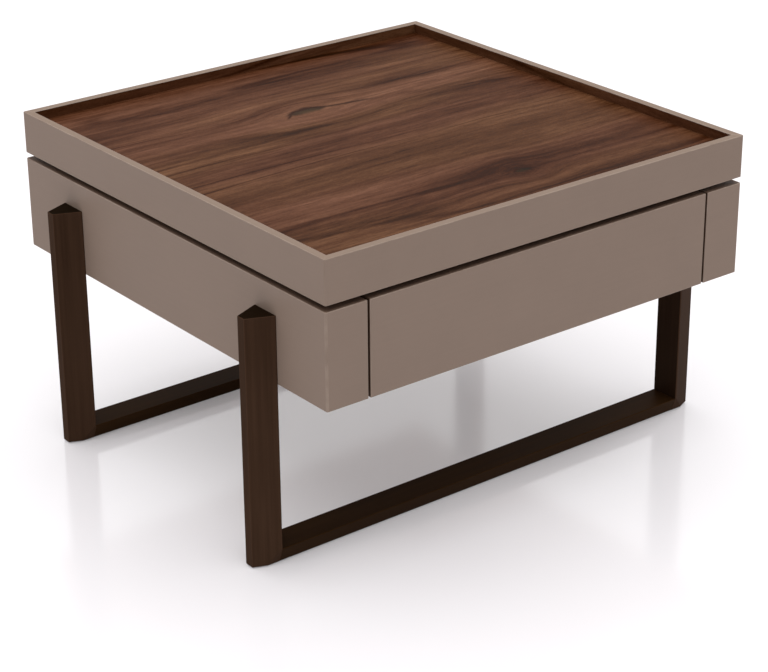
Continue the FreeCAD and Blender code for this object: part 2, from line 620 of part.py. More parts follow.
def cage_and_balls(label, sign, web, ball_depth, ball_height):
    """A ball cage with a row of balls in each of its two flanges."""
    reach = f"({ball_depth} + {CAGE_REACH})"
    half = f"({ball_height} + cage_sheet / 2)"
    blank = channel(label + "_blank", sign, web, reach, half, "cage_sheet", CAGE_FRONT, CAGE_REAR)
    across = f"{sign} * ({RAIL_FACE} - {ball_depth})"
    holes = []
    balls = []
    for i in range(BALLS_PER_ROW):
        line = f"{CAGE_FRONT} + cage_end + {i} * (cage_length - 2 * cage_end) / {BALLS_PER_ROW - 1}"
        hole_start = (across, line, f"{SLIDE_LEVEL} - {half}")
        hole_width = "ball_diameter + 2 * ball_clearance"
        holes.append(rod(f"{label}_hole_{i}", hole_width, f"2 * {half}", hole_start, Vector(0, 0, 1)))
        for row, sense in enumerate(("-", "+")):
            ball = doc.addObject("Part::Sphere", f"{label}_ball_{i}_{row}")
            bind(ball, Radius="ball_diameter / 2")
            put(ball, across, line, f"{SLIDE_LEVEL} {sense} {ball_height}")
            balls.append(ball)
    piece(cut(label, blank, holes), label)
    ball_label = label.replace("cage", "balls")
    piece(group(ball_label, balls), ball_label)


for side, sign in SIDES:
    slide_span = (SHELF_FRONT, SLIDE_REAR)
    label = "slide_cabinet_member_" + side
    blank = channel(
        label + "_blank", sign, "0", FLANGE_TIP, CABINET_HALF, "slide_sheet", *slide_span, lip="slide_lip"
    )
    piece(cut(label, blank, [slide_cabinet_holes]), label)
    label = "slide_middle_member_" + side
    middle = channel(
        label, sign, MIDDLE_WEB, FLANGE_TIP, MIDDLE_HALF, "slide_sheet", *slide_span, lip="slide_lip"
    )
    piece(middle, label)
    label = "slide_drawer_member_" + side
    blank = channel(
        label + "_blank", sign, "slide_thickness", DRAWER_FLANGE_TIP, DRAWER_HALF, "slide_sheet", *slide_span
    )
    piece(cut(label, blank, [slide_drawer_holes]), label)
    cage_and_balls("slide_outer_cage_" + side, sign, OUTER_CAGE_WEB, OUTER_BALL_DEPTH, OUTER_BALL_HEIGHT)
    cage_and_balls("slide_inner_cage_" + side, sign, INNER_CAGE_WEB, INNER_BALL_DEPTH, INNER_BALL_HEIGHT)

# Sled frames: tapered posts on the side panels, joined by a runner along the floor.
# The slopes of a runner's sides go on across the feet of its posts.
lower_half = "(post_width / 2 - runner_taper)"
foot_slopes = {}
for end, end_sign in ENDS:
    line = f"{end_sign} * post_spacing / 2"
    wedges = []
    for face, face_sign in ENDS:
        beside = f"{line} + {face_sign} * (post_width / 2 + runner_taper)"
        corners = (
            (f"{line} + {face_sign} * {lower_half}", "glide_thickness"),
            (f"{line} + {face_sign} * post_width / 2", RUNNER_TOP),
            (beside, RUNNER_TOP),
            (beside, "glide_thickness"),
        )
        reach = both_ways(f"({OUTSIDE} + post_depth)")
        wedges.append(prism(f"foot_slope_{end}_{face}", "YZ_Plane", corners, *reach))
    foot_slopes[end] = group(f"foot_slopes_{end}", wedges)

glides = []
for end, side, end_sign, sign in post_spots:
    label = f"post_{end}_{side}"
    line = f"{end_sign} * post_spacing / 2"
    half_section = (
        ("0", "post_width / 2"),
        ("post_shoulder", "post_width / 2"),
        ("post_depth", "post_flat / 2"),
    )
    corners = [(f"{sign} * ({OUTSIDE} + {out})", f"{line} - {half}") for out, half in half_section]
    corners += [(f"{sign} * ({OUTSIDE} + {out})", f"{line} + {half}") for out, half in reversed(half_section)]
    blank = prism(label + "_blank", "XY_Plane", corners, "glide_thickness", POST_TOP)
    piece(cut(label, blank, [post_insert_holes, runner_dowel_holes, foot_slopes[end]]), label)
    glide_start = (f"{sign} * ({OUTSIDE} + glide_setback)", line, "0")
    glide = rod(f"glide_{end}_{side}", "glide_diameter", "glide_thickness", glide_start, Vector(0, 0, 1))
    glides.append(glide)
piece(group("floor_glides", glides), "floor_glides")

for end, end_sign in ENDS:
    label = "runner_" + end
    line = f"{end_sign} * post_spacing / 2"
    corners = (
        (f"{line} - {lower_half}", "glide_thickness"),
        (f"{line} + {lower_half}", "glide_thickness"),
        (f"{line} + post_width / 2", RUNNER_TOP),
        (f"{line} - post_width / 2", RUNNER_TOP),
    )
    blank = prism(label + "_blank", "YZ_Plane", corners, *both_ways(OUTSIDE))
    piece(cut(label, blank, [runner_dowel_holes]), label)

doc.recompute()

# Every object has to be sound before anything is written.
for item in doc.Objects:
    if "Invalid" in item.State or "Error" in item.State:
        raise RuntimeError(f"{item.Name} did not build: {item.State}")
for item in pieces:
    if item.Shape.isNull() or not item.Shape.isValid() or not item.Shape.Solids:
        raise RuntimeError(f"{item.Label} has no sound shape")

os.makedirs("parts", exist_ok=True)
for item in pieces:
    item.Shape.exportStep(f"parts/{item.Label}.step")
    print(f"{item.Label}: {len(item.Shape.Solids)} solids, {item.Shape.Volume:.0f} mm3")
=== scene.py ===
"""Looks of a square coffee table: a walnut tray top over a lacquered drawer box on two dark sled frames.

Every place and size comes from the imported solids. This script gives the boards their eased edges, the
fasteners their driven heads, every surface its finish, and the whole its light and camera.
"""

import logging
import math
from collections.abc import Callable, Iterator, Sequence
from dataclasses import dataclass
from enum import Enum

import bmesh
import bpy
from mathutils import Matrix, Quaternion, Vector


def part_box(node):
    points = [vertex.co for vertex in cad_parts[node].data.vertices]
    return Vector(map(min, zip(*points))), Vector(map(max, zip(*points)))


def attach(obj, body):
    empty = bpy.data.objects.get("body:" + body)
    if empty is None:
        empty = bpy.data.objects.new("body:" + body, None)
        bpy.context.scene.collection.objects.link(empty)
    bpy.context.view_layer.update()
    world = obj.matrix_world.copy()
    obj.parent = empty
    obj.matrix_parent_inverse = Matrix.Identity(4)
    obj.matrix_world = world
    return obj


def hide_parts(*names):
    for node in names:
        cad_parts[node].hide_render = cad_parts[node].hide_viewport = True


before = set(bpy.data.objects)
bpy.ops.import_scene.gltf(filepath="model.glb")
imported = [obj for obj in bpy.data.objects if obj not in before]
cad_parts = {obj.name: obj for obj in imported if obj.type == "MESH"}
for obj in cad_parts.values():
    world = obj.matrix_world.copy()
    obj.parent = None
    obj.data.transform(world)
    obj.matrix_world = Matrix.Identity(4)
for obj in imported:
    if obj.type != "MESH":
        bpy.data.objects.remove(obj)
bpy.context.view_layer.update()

LOG = logging.getLogger("coffee_table")

EASED = "eased"
AIM = "aim"
MERGE = 1e-6
ARC_STEPS = 3
SHARP_ANGLE = math.radians(40)
SQUARE_ANGLE = math.radians(60)
FLAT_ANGLE = math.radians(1)
MM = 0.001
TABLE = "table"
DRAWER = "drawer"
HANDS = ("left", "right")
LEVELS = ("outer", "inner")
# A solid's edge is eased where it is longer than this many times the easing.
LONG_EDGE = 6
# The keys of a piece's two ends among its material numbers.
START_CAP = -1
END_CAP = -2

Colour = tuple[float, float, float, float]
Point = tuple[float, float]
Point3 = tuple[float, float, float]
Ring = list[Vector]
Coats = dict[int, int]
Inputs = dict[str, object]
Socket = bpy.types.NodeSocket
Mesh = bmesh.types.BMesh


class Axis(Enum):
    """Which way the grain or the brush marks of a piece run."""

    X = 0
    Y = 1
    Z = 2


class Side(Enum):
    """The four sides of the table's square outline, in the order in which one walks round it."""

    FRONT = "front"
    RIGHT = "right"
    BACK = "back"
    LEFT = "left"

    def way(self) -> Axis:
        """Which way the side runs."""
        return Axis.X if self in (Side.FRONT, Side.BACK) else Axis.Y

    def strip(self) -> int:
        """The number of the side's strip on a plan outline that starts at the front left corner."""
        return list(Side).index(self)


class Strip(Enum):
    """The four faces along a board, in the order in which its section is drawn."""

    BOTTOM = 0
    INNER = 1
    TOP = 2
    OUTER = 3


class Cut(Enum):
    """How the end of a board is cut."""

    MITRE = "mitre"
    SQUARE = "square"


def srgb(red: float, green: float, blue: float) -> Colour:
    """The linear colour of a screen colour, by the usual curve of screens.

    Args:
        red: its red, from 0 to 255.
        green: its green.
        blue: its blue.

    Returns:
        The colour.
    """
    shares = [value / 255 for value in (red, green, blue)]
    linear = [share / 12.92 if share <= 0.04045 else ((share + 0.055) / 1.055) ** 2.4 for share in shares]
    return (*linear, 1.0)


def shade(colour: Colour, factor: float) -> Colour:
    """A colour made darker or lighter by a factor."""
    return (*(part * factor for part in colour[:3]), 1.0)


@dataclass(frozen=True)
class Signal:
    """A number that varies over a surface. Arithmetic on it adds Math nodes to its graph."""

    graph: "Graph"
    socket: Socket

    def step(self, operation: str, *others: "Signal | float") -> "Signal":
        """One Math node.

        Args:
            operation: the node's operation.
            others: its other operands.

        Returns:
            The node's result.
        """
        node = self.graph.node("ShaderNodeMath", operation=operation)
        for socket, value in zip(node.inputs, (self, *others)):
            self.graph.feed(socket, value)
        return Signal(self.graph, node.outputs[0])

    def __add__(self, other: "Signal | float") -> "Signal":
        """The sum."""
        return self.step("ADD", other)

    def __sub__(self, other: "Signal | float") -> "Signal":
        """The difference."""
        return self.step("SUBTRACT", other)

    def __mul__(self, other: "Signal | float") -> "Signal":
        """The product."""
        return self.step("MULTIPLY", other)

    def size(self) -> "Signal":
        """The absolute value."""
        return self.step("ABSOLUTE")

    def fraction(self) -> "Signal":
        """What is left after the whole number."""
        return self.step("FRACT")

    def bell(self) -> "Signal":
        """A bell curve: 1 at zero, falling to 0 either way."""
        return (self * self * -1.0).step("EXPONENT")

    def ease(self, low: float, high: float) -> "Signal":
        """A smooth step.

        Args:
            low: where it is 0.
            high: where it is 1, above low or below it.

        Returns:
            The step.
        """
        rising = low < high
        inputs = {
            "Value": self,
            "From Min": min(low, high),
            "From Max": max(low, high),
            "To Min": 0.0 if rising else 1.0,
            "To Max": 1.0 if rising else 0.0,
        }
        node = self.graph.wired("ShaderNodeMapRange", inputs, interpolation_type="SMOOTHSTEP")
        return Signal(self.graph, node.outputs["Result"])


class Graph:
    """A node tree under construction."""

    def __init__(self, tree: bpy.types.NodeTree) -> None:
        """Start from an empty tree."""
        self.tree = tree
        tree.nodes.clear()

    def node(self, kind: str, **settings: object) -> bpy.types.Node:
        """A new node.

        Args:
            kind: its type.
            settings: its own settings.

        Returns:
            The node.
        """
        made = self.tree.nodes.new(kind)
        for name, value in settings.items():
            setattr(made, name, value)
        return made

    def feed(self, socket: Socket, value: object) -> None:
        """Link an input to a signal or a socket, or set it to a plain value.

        Args:
            socket: the input.
            value: what it gets.
        """
        source = value.socket if isinstance(value, Signal) else value
        if isinstance(source, Socket):
            self.tree.links.new(source, socket)
        else:
            socket.default_value = source

    def wired(self, kind: str, inputs: Inputs, **settings: object) -> bpy.types.Node:
        """A new node with its inputs fed.

        Args:
            kind: its type.
            inputs: what it is fed with, by the names of its enabled inputs.
            settings: its own settings.

        Returns:
            The node.
        """
        made = self.node(kind, **settings)
        for name, value in inputs.items():
            socket = next(item for item in made.inputs if item.name == name and item.enabled)
            self.feed(socket, value)
        return made

    def place(self) -> list[Signal]:
        """The object's own X, Y and Z, in metres."""
        where = self.node("ShaderNodeTexCoord").outputs["Object"]
        return [Signal(self, part) for part in self.wired("ShaderNodeSeparateXYZ", {"Vector": where}).outputs]

    def along(self, axis: Axis) -> list[Signal]:
        """The object's coordinates with the one along the grain first."""
        spots = self.place()
        return [spots[(axis.value + turn) % 3] for turn in range(3)]

    def attribute(self, name: str) -> Signal:
        """A number stored on the mesh, 0 where there is none."""
        return Signal(self, self.node("ShaderNodeAttribute", attribute_name=name).outputs["Fac"])

    def noise(
        self, spot: Sequence[Signal], scales: Sequence[float], detail: float = 2.0, rough: float = 0.5
    ) -> Signal:
        """Smooth noise about 0.5.

        Args:
            spot: three coordinates.
            scales: cycles per metre along each of them.
            detail: octaves.
            rough: weight of the finer octaves.

        Returns:
            The noise.
        """
        scaled = {name: part * scale for name, part, scale in zip("XYZ", spot, scales)}
        vector = self.wired("ShaderNodeCombineXYZ", scaled).outputs[0]
        inputs = {"Vector": vector, "Scale": 1.0, "Detail": detail, "Roughness": rough}
        return Signal(self, self.wired("ShaderNodeTexNoise", inputs).outputs[0])

    def ramp(self, signal: Signal, stops: Sequence[tuple[float, Colour]]) -> Socket:
        """A colour from a number.

        Args:
            signal: the number.
            stops: numbers from 0 to 1, each with its colour.

        Returns:
            The colour.
        """
        made = self.wired("ShaderNodeValToRGB", {"Fac": signal})
        elements = made.color_ramp.elements
        while len(elements) < len(stops):
            elements.new(1.0)
        for element, (position, colour) in zip(elements, stops):
            element.position = position
            element.color = colour
        return made.outputs[0]

    def blend(self, share: Signal, first: object, second: object) -> Socket:
        """A mix of two colours: the first where the share is 0, the second where it is 1."""
        made = self.wired("ShaderNodeMix", {"Factor": share, "A": first, "B": second}, data_type="RGBA")
        return next(socket for socket in made.outputs if socket.enabled)

    def bump(self, height: Signal, depth: float, strength: float) -> Socket:
        """A normal bent by a height of that depth in metres."""
        inputs = {"Strength": strength, "Distance": depth, "Height": height}
        return self.wired("ShaderNodeBump", inputs).outputs[0]


@dataclass(frozen=True)
class Finish:
    """A surface finish, made once as a material of its name."""

    name: str

    def material(self) -> bpy.types.Material:
        """The finish's material, built at its first use.

        Returns:
            The material.
        """
        found = bpy.data.materials.get(self.name)
        if found:
            return found
        made = bpy.data.materials.new(self.name)
        made.use_nodes = True
        graph = Graph(made.node_tree)
        shader = graph.wired("ShaderNodeBsdfPrincipled", self.paint(graph))
        graph.wired("ShaderNodeOutputMaterial", {"Surface": shader.outputs["BSDF"]})
        return made

    def paint(self, graph: Graph) -> Inputs:
        """Draw the finish. Each one has its own way.

        Args:
            graph: the material's nodes.

        Returns:
            What the shader is fed with, by the names of its inputs.
        """
        raise NotImplementedError


@dataclass(frozen=True)
class Lacquer(Finish):
    """Sprayed satin lacquer: faint clouding, a trace of veneer grain, fine orange peel and rubbed edges."""

    colour: Colour
    worn: Colour
    rough: float = 0.46
    sheen: float = 0.10

    def paint(self, graph: Graph) -> Inputs:
        """Cloud the colour, lighten the eased edges and roughen the film.

        Args:
            graph: the material's nodes.

        Returns:
            The shader's inputs.
        """
        spot = graph.place()
        run = spot[0] + spot[1]
        cloud = graph.noise(spot, (14, 14, 14), detail=3.0, rough=0.6)
        grain = graph.noise((run, spot[2], run * 0.0), (10, 260, 1), detail=3.0, rough=0.6)
        speck = graph.noise(spot, (900, 900, 900), detail=1.0)
        peel = graph.noise(spot, (260, 260, 260))
        rub = graph.attribute(EASED) * graph.noise(spot, (35, 35, 35), detail=3.0).ease(0.3, 0.7)
        mottle = cloud * 0.55 + grain * 0.3 + speck * 0.15
        body = graph.blend(mottle, shade(self.colour, 0.88), shade(self.colour, 1.05))
        return {
            "Base Color": graph.blend(rub * 0.6, body, self.worn),
            "Roughness": cloud * 0.10 + speck * 0.06 + rub * -0.05 + (self.rough - 0.08),
            "Normal": graph.bump(peel + grain * 0.6, 0.02 * MM, 0.6),
            "Specular IOR Level": self.sheen,
        }


@dataclass(frozen=True)
class Knot:
    """A knot in the veneer: its centre, half sizes, crack and tail in metres.

    The crack leaves its right end and the tail its left end. Each drifts aside by the length given with it.
    """

    along: float
    across: float
    length: float
    width: float
    crack: Point = (0.0, 0.0)
    tail: Point = (0.0, 0.0)


@dataclass(frozen=True)
class Cloud:
    """A dark patch in the veneer, or a pale one: its centre, half sizes in metres, and how dark it is."""

    along: float
    across: float
    length: float
    width: float
    depth: float


@dataclass(frozen=True)
class Walnut(Finish):
    """Oiled walnut veneer with wandering grain, red and golden streaks, open pores and knots."""

    axis: Axis
    knots: tuple[Knot, ...] = ()
    clouds: tuple[Cloud, ...] = ()
    seed: float = 0.0
    contrast: float = 2.7
    mean: float = 0.52
    sheen: float = 0.03

    def bend(self, along: Signal, across: Signal, line: Signal) -> Signal:
        """The lines of the grain, led round the knots.

        Args:
            along: the coordinate along the grain.
            across: the one across it.
            line: which line of the grain a point is on.

        Returns:
            The bent lines.
        """
        for knot in self.knots:
            offset = across - knot.across
            near = ((along - knot.along) * (0.4 / knot.length)).bell() * (offset * (0.22 / knot.width)).bell()
            line = line - offset * near * 0.85
        return line

    def flaws(self, along: Signal, across: Signal) -> tuple[Signal, Signal]:
        """The knots themselves.

        Args:
            along: the coordinate along the grain.
            across: the one across it.

        Returns:
            Where their hearts are, and where their dark outlines, cracks and tails are.
        """
        graph = along.graph
        ragged = graph.noise((along, across, across * 0.0), (60.0, 150.0, 1.0)) - 0.5
        heart = along * 0.0
        dark = along * 0.0
        for knot in self.knots:
            offset = across - knot.across
            reach = (along - knot.along) * (1 / knot.length)
            width = offset * (1 / knot.width)
            lens = width.size() + reach * reach + ragged * 0.7
            heart = heart.step("MAXIMUM", lens.ease(1.1, 0.65) * width.ease(-1.2, -0.1))
            outline = ((lens - 0.92) * 2.8).bell() * width.ease(-1.0, 0.4)
            dark = dark.step("MAXIMUM", outline * 0.95)
            for way, (run, drift) in ((1, knot.crack), (-1, knot.tail)):
                if run:
                    share = (along - knot.along) * (way / run) - 0.8 * knot.length / run
                    slit = (offset - share * drift + ragged * 0.003) * (1 / (0.26 * knot.width))
                    length = share.ease(-0.1, 0.1) * share.ease(1.05, 0.5)
                    dark = dark.step("MAXIMUM", slit.bell() * length * 0.9)
        return heart, dark

    def paint(self, graph: Graph) -> Inputs:
        """Lay bands, streaks, threads, fibres and pores along the grain, in a red and a golden brown.

        Args:
            graph: the material's nodes.

        Returns:
            The shader's inputs.
        """
        along, across, depth = graph.along(self.axis)
        level = across + depth
        layer = depth * 0.0 + self.seed
        wander = graph.noise((along, level, layer), (1.5, 2.4, 1.0)) - 0.5
        ripple = graph.noise((along, level, layer), (5.0, 12.0, 1.0)) - 0.5
        line = self.bend(along, across, level + wander * 0.05 + ripple * 0.009)
        spot = (along, line, layer)
        bands = graph.noise(spot, (1.5, 12.0, 1.0))
        streaks = graph.noise(spot, (3.0, 42.0, 1.0))
        threads = graph.noise(spot, (8.0, 125.0, 1.0), detail=3.0, rough=0.6)
        fibres = graph.noise(spot, (45.0, 320.0, 1.0), detail=3.0, rough=0.65)
        flecks = graph.noise(spot, (240.0, 620.0, 1.0), rough=0.6)
        figure = graph.noise(spot, (0.7, 8.0, 2.0), rough=0.4)
        rings = ((figure * 9.0).fraction() - 0.5).size().ease(0.14, 0.0)
        broken = graph.noise(spot, (3.0, 20.0, 3.0)).ease(0.40, 0.60)
        sums = bands * 0.24 + streaks * 0.21 + threads * 0.24 + fibres * 0.18 + flecks * 0.13
        tone = (sums - 0.5) * self.contrast + self.mean - rings * broken * 0.24
        for cloud in self.clouds:
            far = (along - cloud.along) * (1 / cloud.length)
            off = (across - cloud.across) * (1 / cloud.width)
            tone = tone - far.bell() * off.bell() * threads * cloud.depth
        red = graph.ramp(tone, tuple(zip(WALNUT_STOPS, WALNUT_RED)))
        gold = graph.ramp(tone, tuple(zip(WALNUT_STOPS, WALNUT_GOLD)))
        hue = graph.noise(spot, (1.8, 12.0, 4.0), detail=3.0).ease(0.38, 0.64)
        pores = flecks.ease(0.62, 0.74)
        colour = graph.blend(pores * 0.3, graph.blend(hue, red, gold), WALNUT_PORE)
        if self.knots:
            heart, dark = self.flaws(along, across)
            core = graph.ramp(threads * 0.5 + fibres * 0.5, WALNUT_HEART)
            colour = graph.blend(heart * 0.9, colour, core)
            colour = graph.blend(dark, colour, WALNUT_CRACK)
        return {
            "Base Color": colour,
            "Roughness": fibres * 0.16 + pores * 0.12 + 0.36,
            "Normal": graph.bump(fibres * 0.6 - pores, 0.05 * MM, 0.5),
            "Specular IOR Level": self.sheen,
        }


@dataclass(frozen=True)
class DarkLacquer(Finish):
    """Dark satin lacquer over fine straight-grained timber."""

    axis: Axis
    dark: Colour
    light: Colour
    sheen: float = 0.02
    sheen_tint: Colour = (1.0, 0.5, 0.25, 1.0)

    def paint(self, graph: Graph) -> Inputs:
        """Let a little of the timber's grain show through the film.

        Args:
            graph: the material's nodes.

        Returns:
            The shader's inputs.
        """
        spot = graph.along(self.axis)
        grain = graph.noise(spot, (5, 170, 170), detail=4.0, rough=0.6)
        cloud = graph.noise(spot, (4, 12, 12))
        rub = graph.attribute(EASED)
        colour = graph.ramp(grain * 0.6 + cloud * 0.4, ((0.3, self.dark), (0.7, self.light)))
        return {
            "Base Color": graph.blend(rub * 0.35, colour, shade(self.light, 1.4)),
            "Roughness": grain * 0.16 + cloud * 0.08 + 0.34,
            "Normal": graph.bump(grain, 0.06 * MM, 0.5),
            "Specular IOR Level": self.sheen,
            "Specular Tint": self.sheen_tint,
        }


@dataclass(frozen=True)
class Timber(Finish):
    """Plain sawn or planed timber of one species."""

    axis: Axis
    dark: Colour
    light: Colour
    rough: float = 0.62

    def paint(self, graph: Graph) -> Inputs:
        """Lay early and late wood along the grain.

        Args:
            graph: the material's nodes.

        Returns:
            The shader's inputs.
        """
        spot = graph.along(self.axis)
        along, across, depth = spot
        wander = graph.noise(spot, (4, 9, 9)) - 0.5
        swell = graph.noise((along, across + wander * 0.02, depth), (1.2, 26, 26))
        rings = (swell * 9.0).fraction()
        fibres = graph.noise(spot, (14, 420, 420), detail=3.0, rough=0.6)
        return {
            "Base Color": graph.blend(rings * 0.45 + fibres * 0.55, self.light, self.dark),
            "Roughness": fibres * 0.2 + (self.rough - 0.1),
            "Normal": graph.bump(fibres, 0.08 * MM, 0.6),
        }


@dataclass(frozen=True)
class Plywood(Finish):
    """Birch plywood: pale figured faces, and edges that show the crossed plies."""

    axis: Axis
    thickness: Axis
    ply: float = 1.4 * MM

    def paint(self, graph: Graph) -> Inputs:
        """Figure the faces, and stripe whatever isn't square to the thickness.

        Args:
            graph: the material's nodes.

        Returns:
            The shader's inputs.
        """
        spot = graph.along(self.axis)
        facing = graph.node("ShaderNodeNewGeometry").outputs["True Normal"]
        normal = graph.wired("ShaderNodeSeparateXYZ", {"Vector": facing})
        edge = Signal(graph, normal.outputs[self.thickness.value]).size().ease(0.8, 0.5)
        layer = graph.place()[self.thickness.value]
        plies = ((layer * (0.5 / self.ply)).fraction() - 0.5).size().ease(0.2, 0.3)
        figure = graph.noise(spot, (2.5, 38, 38), detail=4.0, rough=0.6)
        fibres = graph.noise(spot, (18, 520, 520), detail=3.0, rough=0.6)
        face = graph.ramp(figure * 0.6 + fibres * 0.4, BIRCH_FACE)
        return {
            "Base Color": graph.blend(edge, face, graph.blend(plies, *BIRCH_PLIES)),
            "Roughness": fibres * 0.18 + 0.38,
            "Normal": graph.bump(fibres + plies * edge, 0.06 * MM, 0.5),
        }


@dataclass(frozen=True)
class Metal(Finish):
    """Plated, blackened or polished metal with drawing marks along one way."""

    axis: Axis
    colour: Colour
    tint: Colour
    rough: float

    def paint(self, graph: Graph) -> Inputs:
        """Draw fine marks along the metal and tint the plating in clouds.

        Args:
            graph: the material's nodes.

        Returns:
            The shader's inputs.
        """
        spot = graph.along(self.axis)
        marks = graph.noise(spot, (30, 2600, 2600))
        cloud = graph.noise(spot, (40, 90, 90), detail=3.0)
        return {
            "Base Color": graph.blend(cloud, self.colour, self.tint),
            "Metallic": 1.0,
            "Roughness": marks * 0.18 + cloud * 0.08 + (self.rough - 0.13),
            "Normal": graph.bump(marks, 0.01 * MM, 0.5),
        }


@dataclass(frozen=True)
class Pressed(Finish):
    """Felt or rubber: a dull soft stuff with a fine random texture."""

    dark: Colour
    light: Colour
    grain: float
    depth: float

    def paint(self, graph: Graph) -> Inputs:
        """Mottle the colour and raise the texture.

        Args:
            graph: the material's nodes.

        Returns:
            The shader's inputs.
        """
        fluff = graph.noise(graph.place(), (self.grain, self.grain, self.grain), detail=4.0, rough=0.7)
        return {
            "Base Color": graph.blend(fluff, self.dark, self.light),
            "Roughness": fluff * 0.2 + 0.75,
            "Normal": graph.bump(fluff, self.depth, 0.8),
        }


@dataclass(frozen=True)
class FloorPaint(Finish):
    """Pale polished floor paint with a faint light of its own where the camera or a reflection sees it."""

    colour: Colour
    glow: Colour
    lift: float
    rough: float
    refraction: float

    def paint(self, graph: Graph) -> Inputs:
        """Lay one plain colour and its light.

        Args:
            graph: the material's nodes.

        Returns:
            The shader's inputs.
        """
        rays = graph.node("ShaderNodeLightPath").outputs
        seen = Signal(graph, rays["Is Camera Ray"]) + Signal(graph, rays["Is Glossy Ray"])
        seen = seen + Signal(graph, rays["Is Transmission Ray"])
        return {
            "Base Color": self.colour,
            "Roughness": self.rough,
            "IOR": self.refraction,
            "Emission Color": self.glow,
            "Emission Strength": seen * self.lift,
        }


WALNUT_STOPS = (0.0, 0.25, 0.5, 0.75, 1.0)
WALNUT_RED = (srgb(24, 8, 0), srgb(49, 20, 4), srgb(75, 43, 26), srgb(98, 63, 45), srgb(121, 84, 65))
WALNUT_GOLD = (srgb(26, 9, 0), srgb(51, 24, 6), srgb(78, 47, 27), srgb(104, 70, 47), srgb(130, 93, 65))
WALNUT_PORE = srgb(34, 20, 12)
WALNUT_HEART = ((0.4, srgb(28, 17, 7)), (0.6, srgb(54, 40, 24)))
WALNUT_CRACK = srgb(40, 14, 2)
BIRCH_FACE = ((0.35, srgb(186, 152, 112)), (0.52, srgb(207, 176, 137)), (0.68, srgb(221, 194, 158)))
BIRCH_PLIES = (srgb(176, 138, 98), srgb(214, 186, 148))
WAYS = {Axis.X: "across", Axis.Y: "deep"}

TAUPE = Lacquer("taupe_lacquer_film", srgb(138, 120, 108), srgb(159, 142, 129))
# Painted shade: the rim's top is a darker, browner taupe, taking back the light that falls on it from above.
DIMMED_RIM_TOP = Lacquer("taupe_rim_top_painted_shade", srgb(132, 113, 99), srgb(150, 132, 119))
MELAMINE = Lacquer("taupe_melamine", srgb(124, 108, 99), srgb(140, 125, 114), rough=0.55)
# Painted shade: the faces inside the drawer seams and the rim's underside over the shadow gap are made dark.
DARK_GAP_SHADE = Lacquer("dark_painted_gap_shade", srgb(78, 58, 46), srgb(92, 70, 57))
# Painted shade: the top faces of the box boards, the stiles and the drawer front lie in the shadow gap and
# are a darker brown than the taupe.
GAP_TOP_SHADE = Lacquer("brown_painted_gap_shade", srgb(112, 90, 77), srgb(124, 102, 89))
WALNUT_TOP = Walnut(
    "walnut_veneer_top",
    Axis.X,
    knots=(
        Knot(-0.016, 0.116, 0.029, 0.010, crack=(0.088, -0.014), tail=(0.016, -0.013)),
        Knot(0.049, -0.203, 0.013, 0.007),
    ),
    seed=8.2,
    clouds=(
        Cloud(0.015, -0.182, 0.085, 0.022, depth=0.45),
        Cloud(-0.06, -0.078, 0.460, 0.030, depth=0.42),
        Cloud(0.20, -0.230, 0.150, 0.040, depth=0.30),
        Cloud(-0.10, -0.145, 0.130, 0.030, depth=-0.22),
        Cloud(-0.08, 0.140, 0.460, 0.110, depth=-0.17),
    ),
)
WALNUT_LINING = {
    Axis.X: Walnut("walnut_lining_across", Axis.X, seed=3.0, contrast=2.0),
    Axis.Y: Walnut("walnut_lining_deep", Axis.Y, seed=5.0, contrast=2.0),
}
DARK_UPRIGHT = DarkLacquer("dark_lacquer_upright", Axis.Z, srgb(53, 37, 27), srgb(69, 50, 38), sheen=0.008)
# Painted shade: the broad inner faces of the posts, under the table, are darker than their other faces.
INNER_FACE_SHADE = DarkLacquer("dark_lacquer_inner_painted_shade", Axis.Z, srgb(36, 23, 14), srgb(48, 33, 23))
# Painted shade: the runners, low under the table, are darker than the posts.
RUNNER_SHADE = DarkLacquer("dark_lacquer_runner_painted_shade", Axis.X, srgb(36, 20, 7), srgb(50, 32, 15), sheen=0.022)
# Painted shade: the ends of the posts are near-black, darker than their sides.
POST_END_SHADE = DarkLacquer("dark_post_end_painted_shade", Axis.X, srgb(17, 9, 2), srgb(27, 16, 7))
# Painted shade: the battens of the shadow gap are near-black, so that the gap reads dark.
GAP_SHADE_BATTEN = {
    axis: Timber("painted_shade_batten_" + way, axis, srgb(26, 20, 17), srgb(44, 34, 28))
    for axis, way in WAYS.items()
}
PINE = {
    axis: Timber("pine_" + way, axis, srgb(176, 130, 82), srgb(216, 182, 136))
    for axis, way in WAYS.items()
}
BEECH = Timber("beech_dowel", Axis.X, srgb(176, 128, 88), srgb(208, 166, 124), rough=0.55)
PLY_ACROSS = Plywood("plywood_across", Axis.X, thickness=Axis.Y)
PLY_DEEP = Plywood("plywood_deep", Axis.Y, thickness=Axis.X)
PLY_FLAT = Plywood("plywood_flat", Axis.X, thickness=Axis.Z)
ZINC = Metal("zinc_plated_sheet", Axis.Y, srgb(196, 200, 204), srgb(176, 182, 190), rough=0.36)
CAGE = Metal("bright_cage_sheet", Axis.Y, srgb(206, 206, 202), srgb(188, 188, 184), rough=0.30)
BALL = Metal("polished_ball", Axis.Y, srgb(222, 224, 226), srgb(208, 211, 214), rough=0.16)
SCREW = Metal("yellow_zinc_screw", Axis.Z, srgb(206, 184, 132), srgb(186, 166, 124), rough=0.34)
BOLT = Metal("blackened_bolt", Axis.X, srgb(48, 47, 46), srgb(64, 61, 58), rough=0.42)
BRASS = Metal("turned_brass", Axis.X, srgb(204, 168, 92), srgb(188, 150, 78), rough=0.30)
FELT = Pressed("pressed_felt", srgb(40, 35, 32), srgb(66, 58, 53), grain=1800, depth=0.3 * MM)
RUBBER = Pressed("clear_grey_bumper", srgb(168, 168, 164), srgb(196, 196, 192), grain=900, depth=0.05 * MM)
